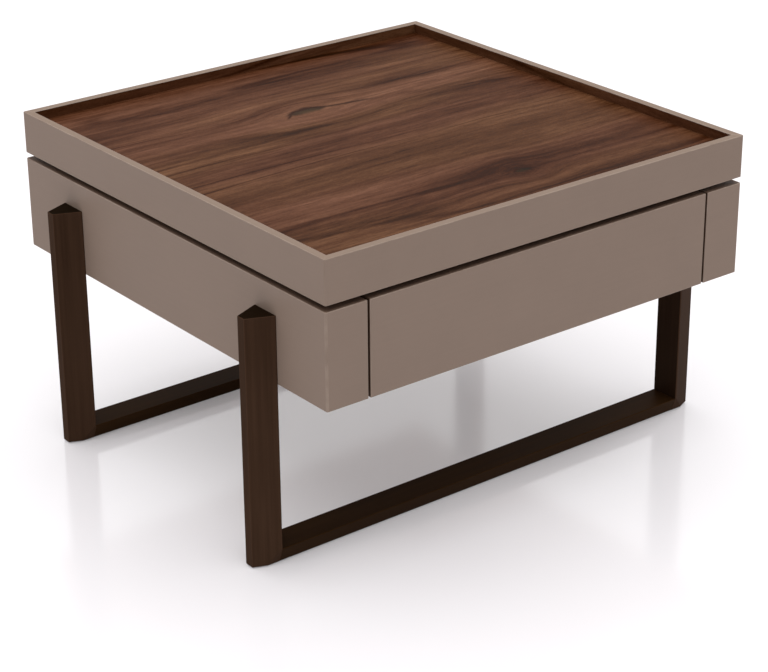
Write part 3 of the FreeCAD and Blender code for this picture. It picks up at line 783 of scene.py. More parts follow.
FLOOR_PAINT = FloorPaint(
    "studio_floor_paint",
    srgb(243, 240, 243),
    glow=(1.0, 0.985, 1.0, 1.0),
    lift=0.157,
    rough=0.14,
    refraction=2.3,
)


def oblong(low: Point, high: Point) -> list[Point]:
    """The corners of an upright oblong, anticlockwise from the lowest ones of both coordinates."""
    return [low, (high[0], low[1]), high, (low[0], high[1])]


def inset(corners: Sequence[Point], distance: float) -> list[Point]:
    """A convex outline drawn in.

    Args:
        corners: its corners, anticlockwise.
        distance: how far each side moves in.

    Returns:
        The new corners.
    """
    count = len(corners)
    lines = []
    for index, (x, y) in enumerate(corners):
        next_x, next_y = corners[(index + 1) % count]
        length = math.hypot(next_x - x, next_y - y)
        normal = (-(next_y - y) / length, (next_x - x) / length)
        lines.append((normal, normal[0] * x + normal[1] * y + distance))
    drawn = []
    for index in range(count):
        (last_x, last_y), last = lines[index - 1]
        (here_x, here_y), here = lines[index]
        cross = last_x * here_y - last_y * here_x
        x = (last * here_y - here * last_y) / cross
        y = (last_x * here - here_x * last) / cross
        drawn.append((x, y))
    return drawn


def rounded(core: Sequence[Point], radius: float) -> list[Point]:
    """The outline that a disc leaves as its middle goes round a convex core.

    Args:
        core: the core's corners, anticlockwise.
        radius: the disc's radius.

    Returns:
        The outline, with an arc at each corner.
    """
    count = len(core)
    points = []
    for index, (x, y) in enumerate(core):
        last_x, last_y = core[index - 1]
        next_x, next_y = core[(index + 1) % count]
        start = math.atan2(y - last_y, x - last_x) - math.pi / 2
        turn = (math.atan2(next_y - y, next_x - x) - math.pi / 2 - start) % math.tau
        for step in range(ARC_STEPS + 1):
            angle = start + turn * step / ARC_STEPS
            points.append((x + radius * math.cos(angle), y + radius * math.sin(angle)))
    return points


def quarter() -> Iterator[Point]:
    """A quarter turn from the end of a piece to its full section.

    Yields:
        Sine and cosine of each step.
    """
    for step in range(ARC_STEPS + 1):
        angle = math.pi / 2 * (1 - step / ARC_STEPS)
        yield math.sin(angle), math.cos(angle)


def loft(rings: Sequence[Ring], coats: Coats) -> Mesh:
    """A closed mesh through rings of equal count, eased at both ends and straight between them.

    Args:
        rings: the rings of one end, then those of the other.
        coats: material numbers of the caps, and of the flat strips by the number of the corner before them.

    Returns:
        The mesh, with a face number that is 1 on eased edges.
    """
    mesh = bmesh.new()
    eased = mesh.faces.layers.float.new(EASED)
    rows = [[mesh.verts.new(spot) for spot in ring] for ring in rings]
    count = len(rows[0])
    for gap, (near, far) in enumerate(zip(rows, rows[1:])):
        for index in range(count):
            after = (index + 1) % count
            face = mesh.faces.new((near[index], near[after], far[after], far[index]))
            flat = index % (ARC_STEPS + 1) == ARC_STEPS
            face[eased] = 0.0 if flat and gap == ARC_STEPS else 1.0
            if flat:
                face.material_index = coats.get(index // (ARC_STEPS + 1), 0)
    for cap, row in ((START_CAP, reversed(rows[0])), (END_CAP, rows[-1])):
        mesh.faces.new(row).material_index = coats.get(cap, 0)
    bmesh.ops.remove_doubles(mesh, verts=mesh.verts, dist=MERGE)
    bmesh.ops.dissolve_degenerate(mesh, edges=mesh.edges, dist=MERGE)
    bmesh.ops.recalc_face_normals(mesh, faces=mesh.faces)
    return mesh


def eased_prism(
    corners: Sequence[Point],
    low: float,
    high: float,
    easing: float,
    place: Callable[[float, float, float], Vector],
    coats: Coats,
) -> Mesh:
    """A straight piece of one convex section with every edge eased.

    Args:
        corners: its section, anticlockwise.
        low: where it starts along its length.
        high: where it ends.
        easing: radius of its edges.
        place: turns two section coordinates and a length into a point of the table.
        coats: material numbers, as for a loft.

    Returns:
        The mesh.
    """
    core = inset(corners, easing)
    ends = [(high - easing + easing * sine, easing * cosine) for sine, cosine in quarter()]
    starts = [(low + high - level, radius) for level, radius in ends]
    rings = []
    for level, radius in starts + ends[::-1]:
        rings.append([place(*spot, level) for spot in rounded(core, radius)])
    return loft(rings, coats)


def upright(x: float, y: float, height: float) -> Vector:
    """A plan outline raised in Z."""
    return Vector((x, y, height))


def crosswise(y: float, z: float, reach: float) -> Vector:
    """An end outline in Y and Z, drawn out along X."""
    return Vector((reach, y, z))


def slab(node: str, easing: float, coats: Coats) -> Mesh:
    """A board of a solid's own box with every edge eased.

    Args:
        node: the solid.
        easing: radius of its edges.
        coats: material numbers, as for a loft.

    Returns:
        The mesh.
    """
    low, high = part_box(node)
    plan = oblong((low.x, low.y), (high.x, high.y))
    return eased_prism(plan, low.z, high.z, easing, upright, coats)


def settle(
    name: str,
    mesh: Mesh,
    finishes: Sequence[Finish],
    body: str,
    nodes: Sequence[str],
) -> None:
    """Turn a finished mesh into a piece of the table.

    Args:
        name: the piece's name.
        mesh: its shape, which is used up.
        finishes: its finishes, by material number.
        body: the body that it moves with.
        nodes: the solids that it stands for.
    """
    data = bpy.data.meshes.new(name)
    mesh.to_mesh(data)
    mesh.free()
    for finish in finishes:
        data.materials.append(finish.material())
    crisp = [edge.index for edge in data.edges if edge.use_edge_sharp]
    data.shade_smooth()
    data.set_sharp_from_angle(angle=SHARP_ANGLE)
    for index in crisp:
        data.edges[index].use_edge_sharp = True
    piece = bpy.data.objects.new(name, data)
    bpy.context.scene.collection.objects.link(piece)
    even = piece.modifiers.new("even_normals", "WEIGHTED_NORMAL")
    even.keep_sharp = True
    seen = piece.evaluated_get(bpy.context.evaluated_depsgraph_get())
    piece.data = bpy.data.meshes.new_from_object(seen)
    piece.modifiers.clear()
    bpy.data.meshes.remove(data)
    piece.data.name = name
    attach(piece, body)
    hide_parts(*nodes)
    LOG.info("%s: %d faces on %s", name, len(piece.data.polygons), body)


def dress(node: str, finish: Finish) -> None:
    """Give a solid that stays as it is its finish.

    Args:
        node: the solid.
        finish: its finish.
    """
    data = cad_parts[node].data
    data.materials.clear()
    data.materials.append(finish.material())
    LOG.info("%s: dressed in %s", node, finish.name)


def merged(node: str) -> Mesh:
    """A copy of a solid with its loose triangles joined.

    Args:
        node: the solid.

    Returns:
        The mesh.
    """
    mesh = bmesh.new()
    mesh.from_mesh(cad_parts[node].data)
    bmesh.ops.remove_doubles(mesh, verts=mesh.verts, dist=MERGE)
    return mesh


def soften(node: str, name: str, finish: Finish, body: str, easing: float) -> None:
    """A copy of a solid with its long edges eased and its drilled holes kept.

    Args:
        node: the solid.
        name: the new piece's name.
        finish: its finish.
        body: the body that it moves with.
        easing: radius of its edges.
    """
    mesh = merged(node)
    bmesh.ops.dissolve_limit(mesh, angle_limit=FLAT_ANGLE, verts=mesh.verts, edges=mesh.edges)
    eased = mesh.faces.layers.float.new(EASED)
    long_edges = []
    for edge in mesh.edges:
        square = edge.is_manifold and edge.calc_face_angle() > SQUARE_ANGLE
        if square and edge.calc_length() > LONG_EDGE * easing:
            long_edges.append(edge)
    worked = bmesh.ops.bevel(
        mesh, geom=long_edges, offset=easing, offset_type="OFFSET", segments=2, profile=0.5, affect="EDGES"
    )
    for face in worked["faces"]:
        face[eased] = 1.0
    settle(name, mesh, [finish], body, [node])


@dataclass(frozen=True)
class Stud:
    """One small part of a solid: the middle of its head or end, its direction and its sizes in metres."""

    head: Vector
    aim: Vector
    length: float
    head_radius: float
    head_height: float
    shank_radius: float


def islands(node: str) -> list[list[Vector]]:
    """The loose parts of a solid.

    Args:
        node: the solid.

    Returns:
        The points of each part.
    """
    mesh = merged(node)
    waiting = set(mesh.verts)
    groups = []
    for first in mesh.verts:
        if first not in waiting:
            continue
        waiting.remove(first)
        reached = [first]
        for vertex in reached:
            for edge in vertex.link_edges:
                other = edge.other_vert(vertex)
                if other in waiting:
                    waiting.remove(other)
                    reached.append(other)
        groups.append([vertex.co.copy() for vertex in reached])
    mesh.free()
    return groups


def measure(points: Sequence[Vector]) -> Stud:
    """The stud that a loose part stands for, its longest extent taken as its axis.

    Args:
        points: the part's vertices.

    Returns:
        The stud, from its wider end to its narrower one.
    """
    low = Vector([min(point[axis] for point in points) for axis in range(3)])
    high = Vector([max(point[axis] for point in points) for axis in range(3)])
    extent = high - low
    axis = max(range(3), key=lambda index: extent[index])
    aim = Vector([1.0 if index == axis else 0.0 for index in range(3)])
    middle = (low + high) / 2

    def radius(point: Vector) -> float:
        """Distance of a point from the axis."""
        offset = point - middle
        return (offset - aim * offset.dot(aim)).length

    ends = []
    for level in (low[axis], high[axis]):
        ends.append(max(radius(point) for point in points if abs(point[axis] - level) < MERGE))
    wide, narrow = ends
    if narrow > wide:
        aim = -aim
        wide, narrow = narrow, wide
    head = middle - aim * (extent[axis] / 2)
    collar = [(point - head).dot(aim) for point in points if radius(point) > narrow + MERGE]
    under = [(point - head).dot(aim) for point in points if radius(point) > narrow - MERGE]
    height = min((reach for reach in under if reach >= max(collar, default=0.0) - MERGE), default=0.0)
    return Stud(head, aim, extent[axis], wide, height, narrow)


class Pattern:
    """A Geometry Nodes tree that sets one small part at every point of a mesh and aims it there.

    The core and the ridge of a thread are shares of its outer radius.
    """

    name = "small_part"
    sizes: tuple[str, ...] = ("Head Radius", "Head Height", "Shank Radius", "Length")
    seed = 7
    core_sides = 20
    core_share = 0.78
    ridge_steps = 14
    ridge_seat = 0.8
    ridge_share = 0.19

    def __init__(self) -> None:
        """Build the tree: the part, one of it at each point, then real faces with their finish."""
        self.tree = bpy.data.node_groups.new(self.name, "GeometryNodeTree")
        self.graph = Graph(self.tree)
        plan = self.tree.interface
        plan.new_socket("Points", in_out="INPUT", socket_type="NodeSocketGeometry")
        for size in self.sizes:
            plan.new_socket(size, in_out="INPUT", socket_type="NodeSocketFloat")
        plan.new_socket("Finish", in_out="INPUT", socket_type="NodeSocketMaterial")
        plan.new_socket("Parts", in_out="OUTPUT", socket_type="NodeSocketGeometry")
        given = self.graph.node("NodeGroupInput").outputs
        part = self.part({size: Signal(self.graph, given[size]) for size in self.sizes})
        spread = {"Points": given["Points"], "Instance": part, "Rotation": self.heading()}
        placed = self.made("GeometryNodeInstanceOnPoints", spread)
        real = self.made("GeometryNodeRealizeInstances", {"Geometry": placed})
        coated = self.made("GeometryNodeSetMaterial", {"Geometry": real, "Material": given["Finish"]})
        self.graph.wired("NodeGroupOutput", {"Parts": coated})

    def part(self, sizes: dict[str, Signal]) -> Socket:
        """One part, its head at the origin and its length along Z. Each pattern has its own.

        Args:
            sizes: the tree's inputs.

        Returns:
            Its mesh.
        """
        raise NotImplementedError

    def made(self, kind: str, inputs: Inputs) -> Socket:
        """The first output of a new node: its mesh, curve or vector."""
        return self.graph.wired(kind, inputs).outputs[0]

    def heading(self) -> Socket:
        """Each part's turn.

        Returns:
            A rotation that lays Z along the stored aim, with a spin about it by the seed.
        """
        graph = self.graph
        aim = graph.wired("GeometryNodeInputNamedAttribute", {"Name": AIM}, data_type="FLOAT_VECTOR")
        aimed = graph.wired("FunctionNodeAlignRotationToVector", {"Vector": aim.outputs[0]}, axis="Z")
        spin = graph.wired("FunctionNodeRandomValue", {"Max": math.tau, "Seed": self.seed}, data_type="FLOAT")
        angle = next(socket for socket in spin.outputs if socket.enabled)
        turn = graph.wired("FunctionNodeAxisAngleToRotation", {"Axis": (0.0, 0.0, 1.0), "Angle": angle})
        inputs = {"Rotation": aimed.outputs[0], "Rotate By": turn.outputs[0]}
        return graph.wired("FunctionNodeRotateRotation", inputs, rotation_space="LOCAL").outputs[0]

    def join(self, *meshes: Socket) -> Socket:
        """Several meshes as one.

        Args:
            meshes: the meshes.

        Returns:
            The one.
        """
        node = self.graph.node("GeometryNodeJoinGeometry")
        for mesh in meshes:
            self.graph.feed(node.inputs[0], mesh)
        return node.outputs[0]

    def shift(self, mesh: Socket, rise: Signal) -> Socket:
        """A mesh moved along its length."""
        vector = self.made("ShaderNodeCombineXYZ", {"Z": rise})
        return self.made("GeometryNodeTransform", {"Geometry": mesh, "Translation": vector})

    def cut(self, mesh: Socket, tool: Socket) -> Socket:
        """A mesh with another taken out of it."""
        inputs = {"Mesh 1": mesh, "Mesh 2": tool}
        return self.graph.wired("GeometryNodeMeshBoolean", inputs, operation="DIFFERENCE").outputs[0]

    def cone(self, sides: int, foot: Signal, top: Signal, height: Signal) -> Socket:
        """A cone or a part of one, standing on the origin."""
        inputs = {"Vertices": sides, "Radius Bottom": foot, "Radius Top": top, "Depth": height}
        return self.made("GeometryNodeMeshCone", inputs)

    def threaded(self, radius: Signal, start: Signal, length: Signal, pitch: float) -> Socket:
        """A threaded shank.

        Args:
            radius: outer radius of the thread.
            start: where it starts along the part.
            length: its length.
            pitch: from turn to turn, in metres.

        Returns:
            The mesh.
        """
        stem = {"Vertices": self.core_sides, "Radius": radius * self.core_share, "Depth": length}
        core = self.made("GeometryNodeMeshCylinder", stem)
        turns = {
            "Resolution": self.ridge_steps,
            "Rotations": length * (1 / pitch),
            "Start Radius": radius * self.ridge_seat,
            "End Radius": radius * self.ridge_seat,
            "Height": length,
        }
        helix = self.made("GeometryNodeCurveSpiral", turns)
        triangle = {"Resolution": 3, "Radius": radius * self.ridge_share}
        ridge = self.made("GeometryNodeCurvePrimitiveCircle", triangle)
        path = {"Curve": helix, "Profile Curve": ridge, "Fill Caps": True}
        thread = self.made("GeometryNodeCurveToMesh", path)
        return self.join(self.shift(core, start + length * 0.5), self.shift(thread, start))

    def scatter(self, node: str, name: str, finish: Finish, body: str, slot: str) -> None:
        """Stand for a solid's loose parts with the pattern's own.

        Args:
            node: the solid.
            name: the new piece's name.
            finish: its finish.
            body: the body that it moves with.
            slot: not used.
        """
        studs = [measure(points) for points in islands(node)]
        data = bpy.data.meshes.new(name + "_points")
        data.from_pydata([self.seat(stud) for stud in studs], [], [])
        aims = data.attributes.new(AIM, "FLOAT_VECTOR", "POINT")
        for row, stud in zip(aims.data, studs):
            row.vector = stud.aim
        carrier = bpy.data.objects.new(name + "_points", data)
        bpy.context.scene.collection.objects.link(carrier)
        values = dict(zip(self.sizes, self.lengths(studs[0])))
        values["Finish"] = finish.material()
        modifier = carrier.modifiers.new(self.name, "NODES")
        modifier.node_group = self.tree
        for socket in self.tree.interface.items_tree:
            if socket.name in values:
                modifier[socket.identifier] = values[socket.name]
        seen = carrier.evaluated_get(bpy.context.evaluated_depsgraph_get())
        made = bpy.data.meshes.new_from_object(seen)
        mesh = bmesh.new()
        mesh.from_mesh(made)
        bpy.data.objects.remove(carrier)
        bpy.data.meshes.remove(made)
        bpy.data.meshes.remove(data)
        settle(name, mesh, [finish], body, [node])

    def seat(self, stud: Stud) -> Vector:
        """Where a part's origin goes: the middle of its head."""
        return stud.head

    def lengths(self, stud: Stud) -> tuple[float, ...]:
        """The pattern's sizes, from one of the studs."""
        return (stud.head_radius, stud.head_height, stud.shank_radius, stud.length)


class ScrewPattern(Pattern):
    """Countersunk screws with a cross recess, a thread and a point.

    Each bar of the recess has its length and width in head radii and its height in head heights, half of it
    above the head. The point's sizes are in shank radii.
    """

    name = "countersunk_screw"
    pitch = 1.8 * MM
    head_sides = 32
    recess = ((1.05, 0.24, 1.3), (0.24, 1.05, 1.24))
    point_share = 2.0
    point_lap = 0.04
    point_foot = 0.77
    point_top = 0.08

    def part(self, sizes: dict[str, Signal]) -> Socket:
        """One screw. Its point starts a little inside its core.

        Args:
            sizes: the tree's inputs.

        Returns:
            Its mesh.
        """
        wide, height, slim, length = sizes.values()
        head = self.cone(self.head_sides, wide, slim, height)
        for along, across, deep in self.recess:
            extent = {"X": wide * along, "Y": wide * across, "Z": height * deep}
            box = self.made("ShaderNodeCombineXYZ", extent)
            head = self.cut(head, self.made("GeometryNodeMeshCube", {"Size": box}))
        point = slim * (self.point_share + self.point_lap)
        tip = self.cone(self.core_sides, slim * self.point_foot, slim * self.point_top, point)
        shank = self.threaded(slim, height, length - height - slim * self.point_share, self.pitch)
        return self.join(head, shank, self.shift(tip, length - point))


class BoltPattern(Pattern):
    """Cap bolts with a hexagon socket and a machine thread.

    The crown and the socket are in head radii and head heights, half of the socket above the head.
    """

    name = "socket_bolt"
    pitch = 1.0 * MM
    head_sides = 40
    crown_share = 0.9
    socket_share = 0.42
    socket_depth = 1.2

    def part(self, sizes: dict[str, Signal]) -> Socket:
        """One bolt.

        Args:
            sizes: the tree's inputs.

        Returns:
            Its mesh.
        """
        wide, height, slim, length = sizes.values()
        head = self.cone(self.head_sides, wide * self.crown_share, wide, height)
        hexagon = {"Vertices": 6, "Radius": wide * self.socket_share, "Depth": height * self.socket_depth}
        socket = self.made("GeometryNodeMeshCylinder", hexagon)
        shank = self.threaded(slim, height, length - height, self.pitch)
        return self.join(self.cut(head, socket), shank)


class BallPattern(Pattern):
    """Polished bearing balls."""

    name = "bearing_ball"
    sizes = ("Radius",)
    fineness = 3

    def seat(self, stud: Stud) -> Vector:
        """A ball's middle."""
        return stud.head + stud.aim * (stud.length / 2)

    def lengths(self, stud: Stud) -> tuple[float, ...]:
        """The radius."""
        return (stud.length / 2,)

    def part(self, sizes: dict[str, Signal]) -> Socket:
        """One ball."""
        ball = {"Radius": sizes["Radius"], "Subdivisions": self.fineness}
        return self.made("GeometryNodeMeshIcoSphere", ball)


class DowelPattern(Pattern):
    """Fluted beech dowels."""

    name = "fluted_dowel"
    sizes = ("Radius", "Length")
    flutes = 14
    groove_share = 0.94

    def lengths(self, stud: Stud) -> tuple[float, ...]:
        """Radius and length."""
        return (stud.head_radius, stud.length)

    def part(self, sizes: dict[str, Signal]) -> Socket:
        """One dowel.

        Args:
            sizes: the tree's inputs.

        Returns:
            Its mesh.
        """
        radius, length = sizes.values()
        end = self.made("ShaderNodeCombineXYZ", {"Z": length})
        line = self.made("GeometryNodeCurvePrimitiveLine", {"End": end})
        star = {"Points": self.flutes, "Inner Radius": radius * self.groove_share, "Outer Radius": radius}
        section = self.made("GeometryNodeCurveStar", star)
        path = {"Curve": line, "Profile Curve": section, "Fill Caps": True}
        return self.made("GeometryNodeCurveToMesh", path)


@dataclass
class Board:
    """A board on one side of the table's square outline, with eased edges and rounded outer corners."""

    side: Side
    half_width: float
    half_depth: float
    thickness: float
    low: float
    high: float
    easing: float
    corner: float
    reach: Point | None = None
    cuts: tuple[Cut, Cut] = (Cut.MITRE, Cut.MITRE)

    def length(self) -> float:
        """The length of its side of the outline."""
        return 2 * (self.half_width if self.side.way() is Axis.X else self.half_depth)

    def place(self, run: float, depth: float, height: float) -> Vector:
        """A point of the table from one on the board.

        Args:
            run: how far along its side of the outline, going round anticlockwise.
            depth: how far in from its outer face.
            height: how high.

        Returns:
            The point.
        """
        spots = {
            Side.FRONT: (run - self.half_width, depth - self.half_depth),
            Side.RIGHT: (self.half_width - depth, run - self.half_depth),
            Side.BACK: (self.half_width - run, self.half_depth - depth),
            Side.LEFT: (depth - self.half_width, self.half_depth - run),
        }
        return Vector((*spots[self.side], height))

    def mitre(self, core: Sequence[Point]) -> list[list[Point3]]:
        """One mitred end, its outer corner rounded.

        Args:
            core: the core of the section, without its easing.

        Returns:
            Rings of run, depth and height, from the mitre to the full section.
        """
        rings = []
        for step in range(ARC_STEPS + 1):
            angle = math.pi / 4 * (1 - step / ARC_STEPS)
            ring = []
            for depth, height in rounded(core, self.easing):
                swing = self.corner - depth
                if swing > 0:
                    run = self.corner - swing * math.sin(angle)
                    ring.append((run, self.corner - swing * math.cos(angle), height))
                else:
                    ring.append((depth + self.corner * step / ARC_STEPS, depth, height))
            rings.append(ring)
        return rings

    def square(self, core: Sequence[Point]) -> list[list[Point3]]:
        """One square end with eased edges.

        Args:
            core: the core of the section, without its easing.

        Returns:
            Rings of run, depth and height, from the end to the full section.
        """
        rings = []
        for sine, cosine in quarter():
            run = self.easing * (1 - sine)
            rings.append([(run, depth, height) for depth, height in rounded(core, self.easing * cosine)])
        return rings

    def build(self, coats: Coats) -> Mesh:
        """The board.

        Args:
            coats: material numbers of its strips and its ends.

        Returns:
            Its mesh.
        """
        start, end = self.reach or (0.0, self.length())
        core = inset(oblong((0, self.low), (self.thickness, self.high)), self.easing)
        shapes = {Cut.MITRE: self.mitre, Cut.SQUARE: self.square}
        rings = []
        for ring in shapes[self.cuts[0]](core):
            rings.append([self.place(start + run, depth, height) for run, depth, height in ring])
        for ring in reversed(shapes[self.cuts[1]](core)):
            rings.append([self.place(end - run, depth, height) for run, depth, height in ring])
        return loft(rings, coats)


@dataclass
class TrayTop:
    """The tray: mitred rim boards, the sunk walnut panel, its cleats and the battens that it stands on."""

    easing: float = 0.9 * MM
    corner: float = 2.0 * MM
    panel_easing: float = 0.4 * MM

    def build(self) -> None:
        """Make and dress every piece of the tray."""
        self.rim()
        self.panel()
        self.bearers()

    def rim(self) -> None:
        """Four rim boards, lacquered outside and on top, and lined with walnut inside."""
        low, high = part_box("tray_rim_front")
        thickness = high.y - low.y
        for side in Side:
            node = "tray_rim_" + side.value
            board = Board(side, high.x, -low.y, thickness, low.z, high.z, self.easing, self.corner)
            # The underside strip over the shadow gap and the top strip carry painted shade.
            mesh = board.build({Strip.INNER.value: 1, Strip.BOTTOM.value: 2, Strip.TOP.value: 3})
            finishes = [TAUPE, WALNUT_LINING[side.way()], DARK_GAP_SHADE, DIMMED_RIM_TOP]
            settle("rim_board_" + side.value, mesh, finishes, TABLE, [node])

    def panel(self) -> None:
        """The walnut panel."""
        mesh = slab("tray_panel", self.panel_easing, {})
        settle("walnut_panel", mesh, [WALNUT_TOP], TABLE, ["tray_panel"])

    def bearers(self) -> None:
        """The cleats under the panel, and the battens of the shadow gap, made near-black as painted shade."""
        for side in Side:
            axis = side.way()
            cleat = "tray_cleat_" + side.value
            batten = "spacer_batten_" + side.value
            soften(cleat, "panel_cleat_" + side.value, PINE[axis], TABLE, self.easing)
            soften(batten, "gap_batten_" + side.value, GAP_SHADE_BATTEN[axis], TABLE, self.easing)


@dataclass
class Box:
    """The lacquered box: sides, back and stiles round a carcass of boards and packing rails."""

    easing: float = 0.9 * MM
    corner: float = 2.4 * MM
    carcass_easing: float = 0.6 * MM

    def build(self) -> None:
        """Make and dress every piece of the box."""
        self.shell()
        self.carcass()

    def shell(self) -> None:
        """The mitred panels and the two stiles beside the drawer."""
        low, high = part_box("back_panel")
        thickness = high.y - low.y
        sizes = (high.x, high.y, thickness, low.z, high.z, self.easing, self.corner)
        panels = {Side.LEFT: "side_panel_left", Side.RIGHT: "side_panel_right", Side.BACK: "back_panel"}
        for side, node in panels.items():
            # Their top strips lie in the shadow gap and carry painted shade.
            mesh = Board(side, *sizes).build({Strip.TOP.value: 1})
            settle("box_board_" + side.value, mesh, [TAUPE, GAP_TOP_SHADE], TABLE, [node])
        stile_low, stile_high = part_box("front_stile_left")
        width = stile_high.x - stile_low.x
        length = 2 * high.x
        ends = {
            "left": ((0.0, width), (Cut.MITRE, Cut.SQUARE), END_CAP),
            "right": ((length - width, length), (Cut.SQUARE, Cut.MITRE), START_CAP),
        }
        for hand, (reach, cuts, seam) in ends.items():
            # Each stile's top strip and its end at the drawer seam carry painted shade.
            mesh = Board(Side.FRONT, *sizes, reach, cuts).build({Strip.TOP.value: 1, seam: 2})
            finishes = [TAUPE, GAP_TOP_SHADE, DARK_GAP_SHADE]
            settle("stile_board_" + hand, mesh, finishes, TABLE, ["front_stile_" + hand])

    def carcass(self) -> None:
        """The boards and rails inside the shell."""
        for place in ("top", "bottom"):
            node = "carcass_" + place
            soften(node, "carcass_board_" + place, MELAMINE, TABLE, self.carcass_easing)
        for hand in HANDS:
            node = "slide_rail_" + hand
            soften(node, "packing_rail_" + hand, PINE[Axis.Y], TABLE, self.carcass_easing)


@dataclass
class Drawer:
    """The drawer: a lacquered front screwed to a grooved plywood box."""

    easing: float = 0.9 * MM
    ply_easing: float = 0.5 * MM

    def build(self) -> None:
        """Make and dress every piece of the drawer."""
        self.face()
        self.tray()
        dress("drawer_bumpers", RUBBER)

    def face(self) -> None:
        """The flush front."""
        # Its side faces in the seams and its top face in the shadow gap carry painted shade.
        coats = {Side.RIGHT.strip(): 1, Side.LEFT.strip(): 1, END_CAP: 2}
        mesh = slab("drawer_front", self.easing, coats)
        settle("drawer_face", mesh, [TAUPE, DARK_GAP_SHADE, GAP_TOP_SHADE], DRAWER, ["drawer_front"])

    def tray(self) -> None:
        """The plywood box behind it."""
        boards = {
            "drawer_box_front": ("drawer_ply_front", PLY_ACROSS),
            "drawer_back": ("drawer_ply_back", PLY_ACROSS),
            "drawer_side_left": ("drawer_ply_left", PLY_DEEP),
            "drawer_side_right": ("drawer_ply_right", PLY_DEEP),
            "drawer_bottom": ("drawer_ply_bottom", PLY_FLAT),
        }
        for node, (name, finish) in boards.items():
            soften(node, name, finish, DRAWER, self.ply_easing)


@dataclass
class Slides:
    """The sheet members and the cages of the two ball-bearing slides."""

    sheet_easing: float = 0.2 * MM

    def build(self) -> None:
        """Make the members and dress the cages of both slides."""
        for hand in HANDS:
            members = {
                "slide_cabinet_member_": ("cabinet_channel_", TABLE),
                "slide_middle_member_": ("middle_channel_", "slide_middle_" + hand),
                "slide_drawer_member_": ("drawer_channel_", DRAWER),
            }
            for node, (name, body) in members.items():
                soften(node + hand, name + hand, ZINC, body, self.sheet_easing)
            for level in LEVELS:
                dress(f"slide_{level}_cage_{hand}", CAGE)


@dataclass
class SledFrames:
    """The two dark frames: tapered posts on the side panels, joined by runners along the floor."""

    easing: float = 0.6 * MM
    runner_easing: float = 0.8 * MM
    flat: float = 12 * MM
    shoulder: float = 1.5 * MM
    runner_taper: float = 6.5 * MM

    def build(self) -> None:
        """Make and dress every piece of both frames."""
        for end in ("front", "rear"):
            for hand in HANDS:
                self.post(end, hand)
            self.runner(end)
        dress("post_inserts", BRASS)
        dress("floor_glides", FELT)

    def post(self, end: str, hand: str) -> None:
        """One post: a broad face on the panel, a square shoulder and two slopes to a narrow outer face.

        Args:
            end: the frame that it belongs to, front or rear.
            hand: the side of the table, left or right.
        """
        node = f"post_{end}_{hand}"
        low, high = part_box(node)
        middle = (low.y + high.y) / 2
        half = (high.y - low.y) / 2
        inner, outer = (high.x, low.x) if hand == "left" else (low.x, high.x)
        out = -1 if hand == "left" else 1
        profile = ((inner, half), (inner + out * self.shoulder, half), (outer, self.flat / 2))
        corners = [(x, middle + out * -y) for x, y in profile]
        corners += [(x, middle + out * y) for x, y in reversed(profile)]
        broad_face = len(corners) - 1
        # The broad inner face and both ends carry painted shade.
        coats = {START_CAP: 1, END_CAP: 1, broad_face: 2}
        mesh = eased_prism(corners, low.z, high.z, self.easing, upright, coats)
        self.slope_foot(mesh, "runner_" + end)
        finishes = [DARK_UPRIGHT, POST_END_SHADE, INNER_FACE_SHADE]
        settle(f"post_timber_{end}_{hand}", mesh, finishes, TABLE, [node])

    def slope_foot(self, mesh: Mesh, runner: str) -> None:
        """Carry the slopes of a runner's sides on across the foot of a post.

        Args:
            mesh: the post.
            runner: the runner's node.
        """
        low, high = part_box(runner)
        rise = high.z - low.z
        for edge, out in ((low.y, -1), (high.y, 1)):
            parts = mesh.verts[:] + mesh.edges[:] + mesh.faces[:]
            slope = Vector((0, out * rise, -self.runner_taper)).normalized()
            spot = Vector((0, edge, high.z))
            sliced = bmesh.ops.bisect_plane(
                mesh, geom=parts, dist=MERGE, plane_co=spot, plane_no=slope, clear_outer=True
            )
            rim = [item for item in sliced["geom_cut"] if isinstance(item, bmesh.types.BMEdge)]
            bmesh.ops.edgeloop_fill(mesh, edges=rim)
            for item in rim:
                item.smooth = False
        bmesh.ops.recalc_face_normals(mesh, faces=mesh.faces)

    def runner(self, end: str) -> None:
        """One runner, its lower edges set back.

        Args:
            end: the frame that it belongs to, front or rear.
        """
        node = "runner_" + end
        low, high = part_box(node)
        corners = (
            (low.y + self.runner_taper, low.z),
            (high.y - self.runner_taper, low.z),
            (high.y, high.z),
            (low.y, high.z),
        )
        mesh = eased_prism(corners, low.x, high.x, self.runner_easing, crosswise, {})
        # Its darker lacquer is painted shade.
        settle("runner_timber_" + end, mesh, [RUNNER_SHADE], TABLE, [node])


@dataclass
class Hardware:
    """Everything that is driven, glued or rolls: screws, bolts, dowels and bearing balls."""

    table_screws: tuple[str, ...] = ("tray_screws", "rail_screws", "slide_cabinet_screws")
    drawer_screws: tuple[str, ...] = ("drawer_corner_screws", "drawer_front_screws", "slide_drawer_screws")
    dowels: tuple[str, ...] = ("carcass_dowels", "runner_dowels")

    def build(self) -> None:
        """Stand for every fastener and ball with a finished one."""
        screw = ScrewPattern()
        for body, nodes in ((TABLE, self.table_screws), (DRAWER, self.drawer_screws)):
            for node in nodes:
                screw.scatter(node, "driven_" + node, SCREW, body, "screw_steel")
        BoltPattern().scatter("post_bolts", "driven_post_bolts", BOLT, TABLE, "bolt_steel")
        dowel = DowelPattern()
        for node in self.dowels:
            dowel.scatter(node, "fluted_" + node, BEECH, TABLE, "dowel_beech")
        ball = BallPattern()
        for hand in HANDS:
            for level in LEVELS:
                node = f"slide_{level}_balls_{hand}"
                name = f"polished_{level}_balls_{hand}"
                ball.scatter(node, name, BALL, f"{level}_cage_{hand}", "ball_steel")


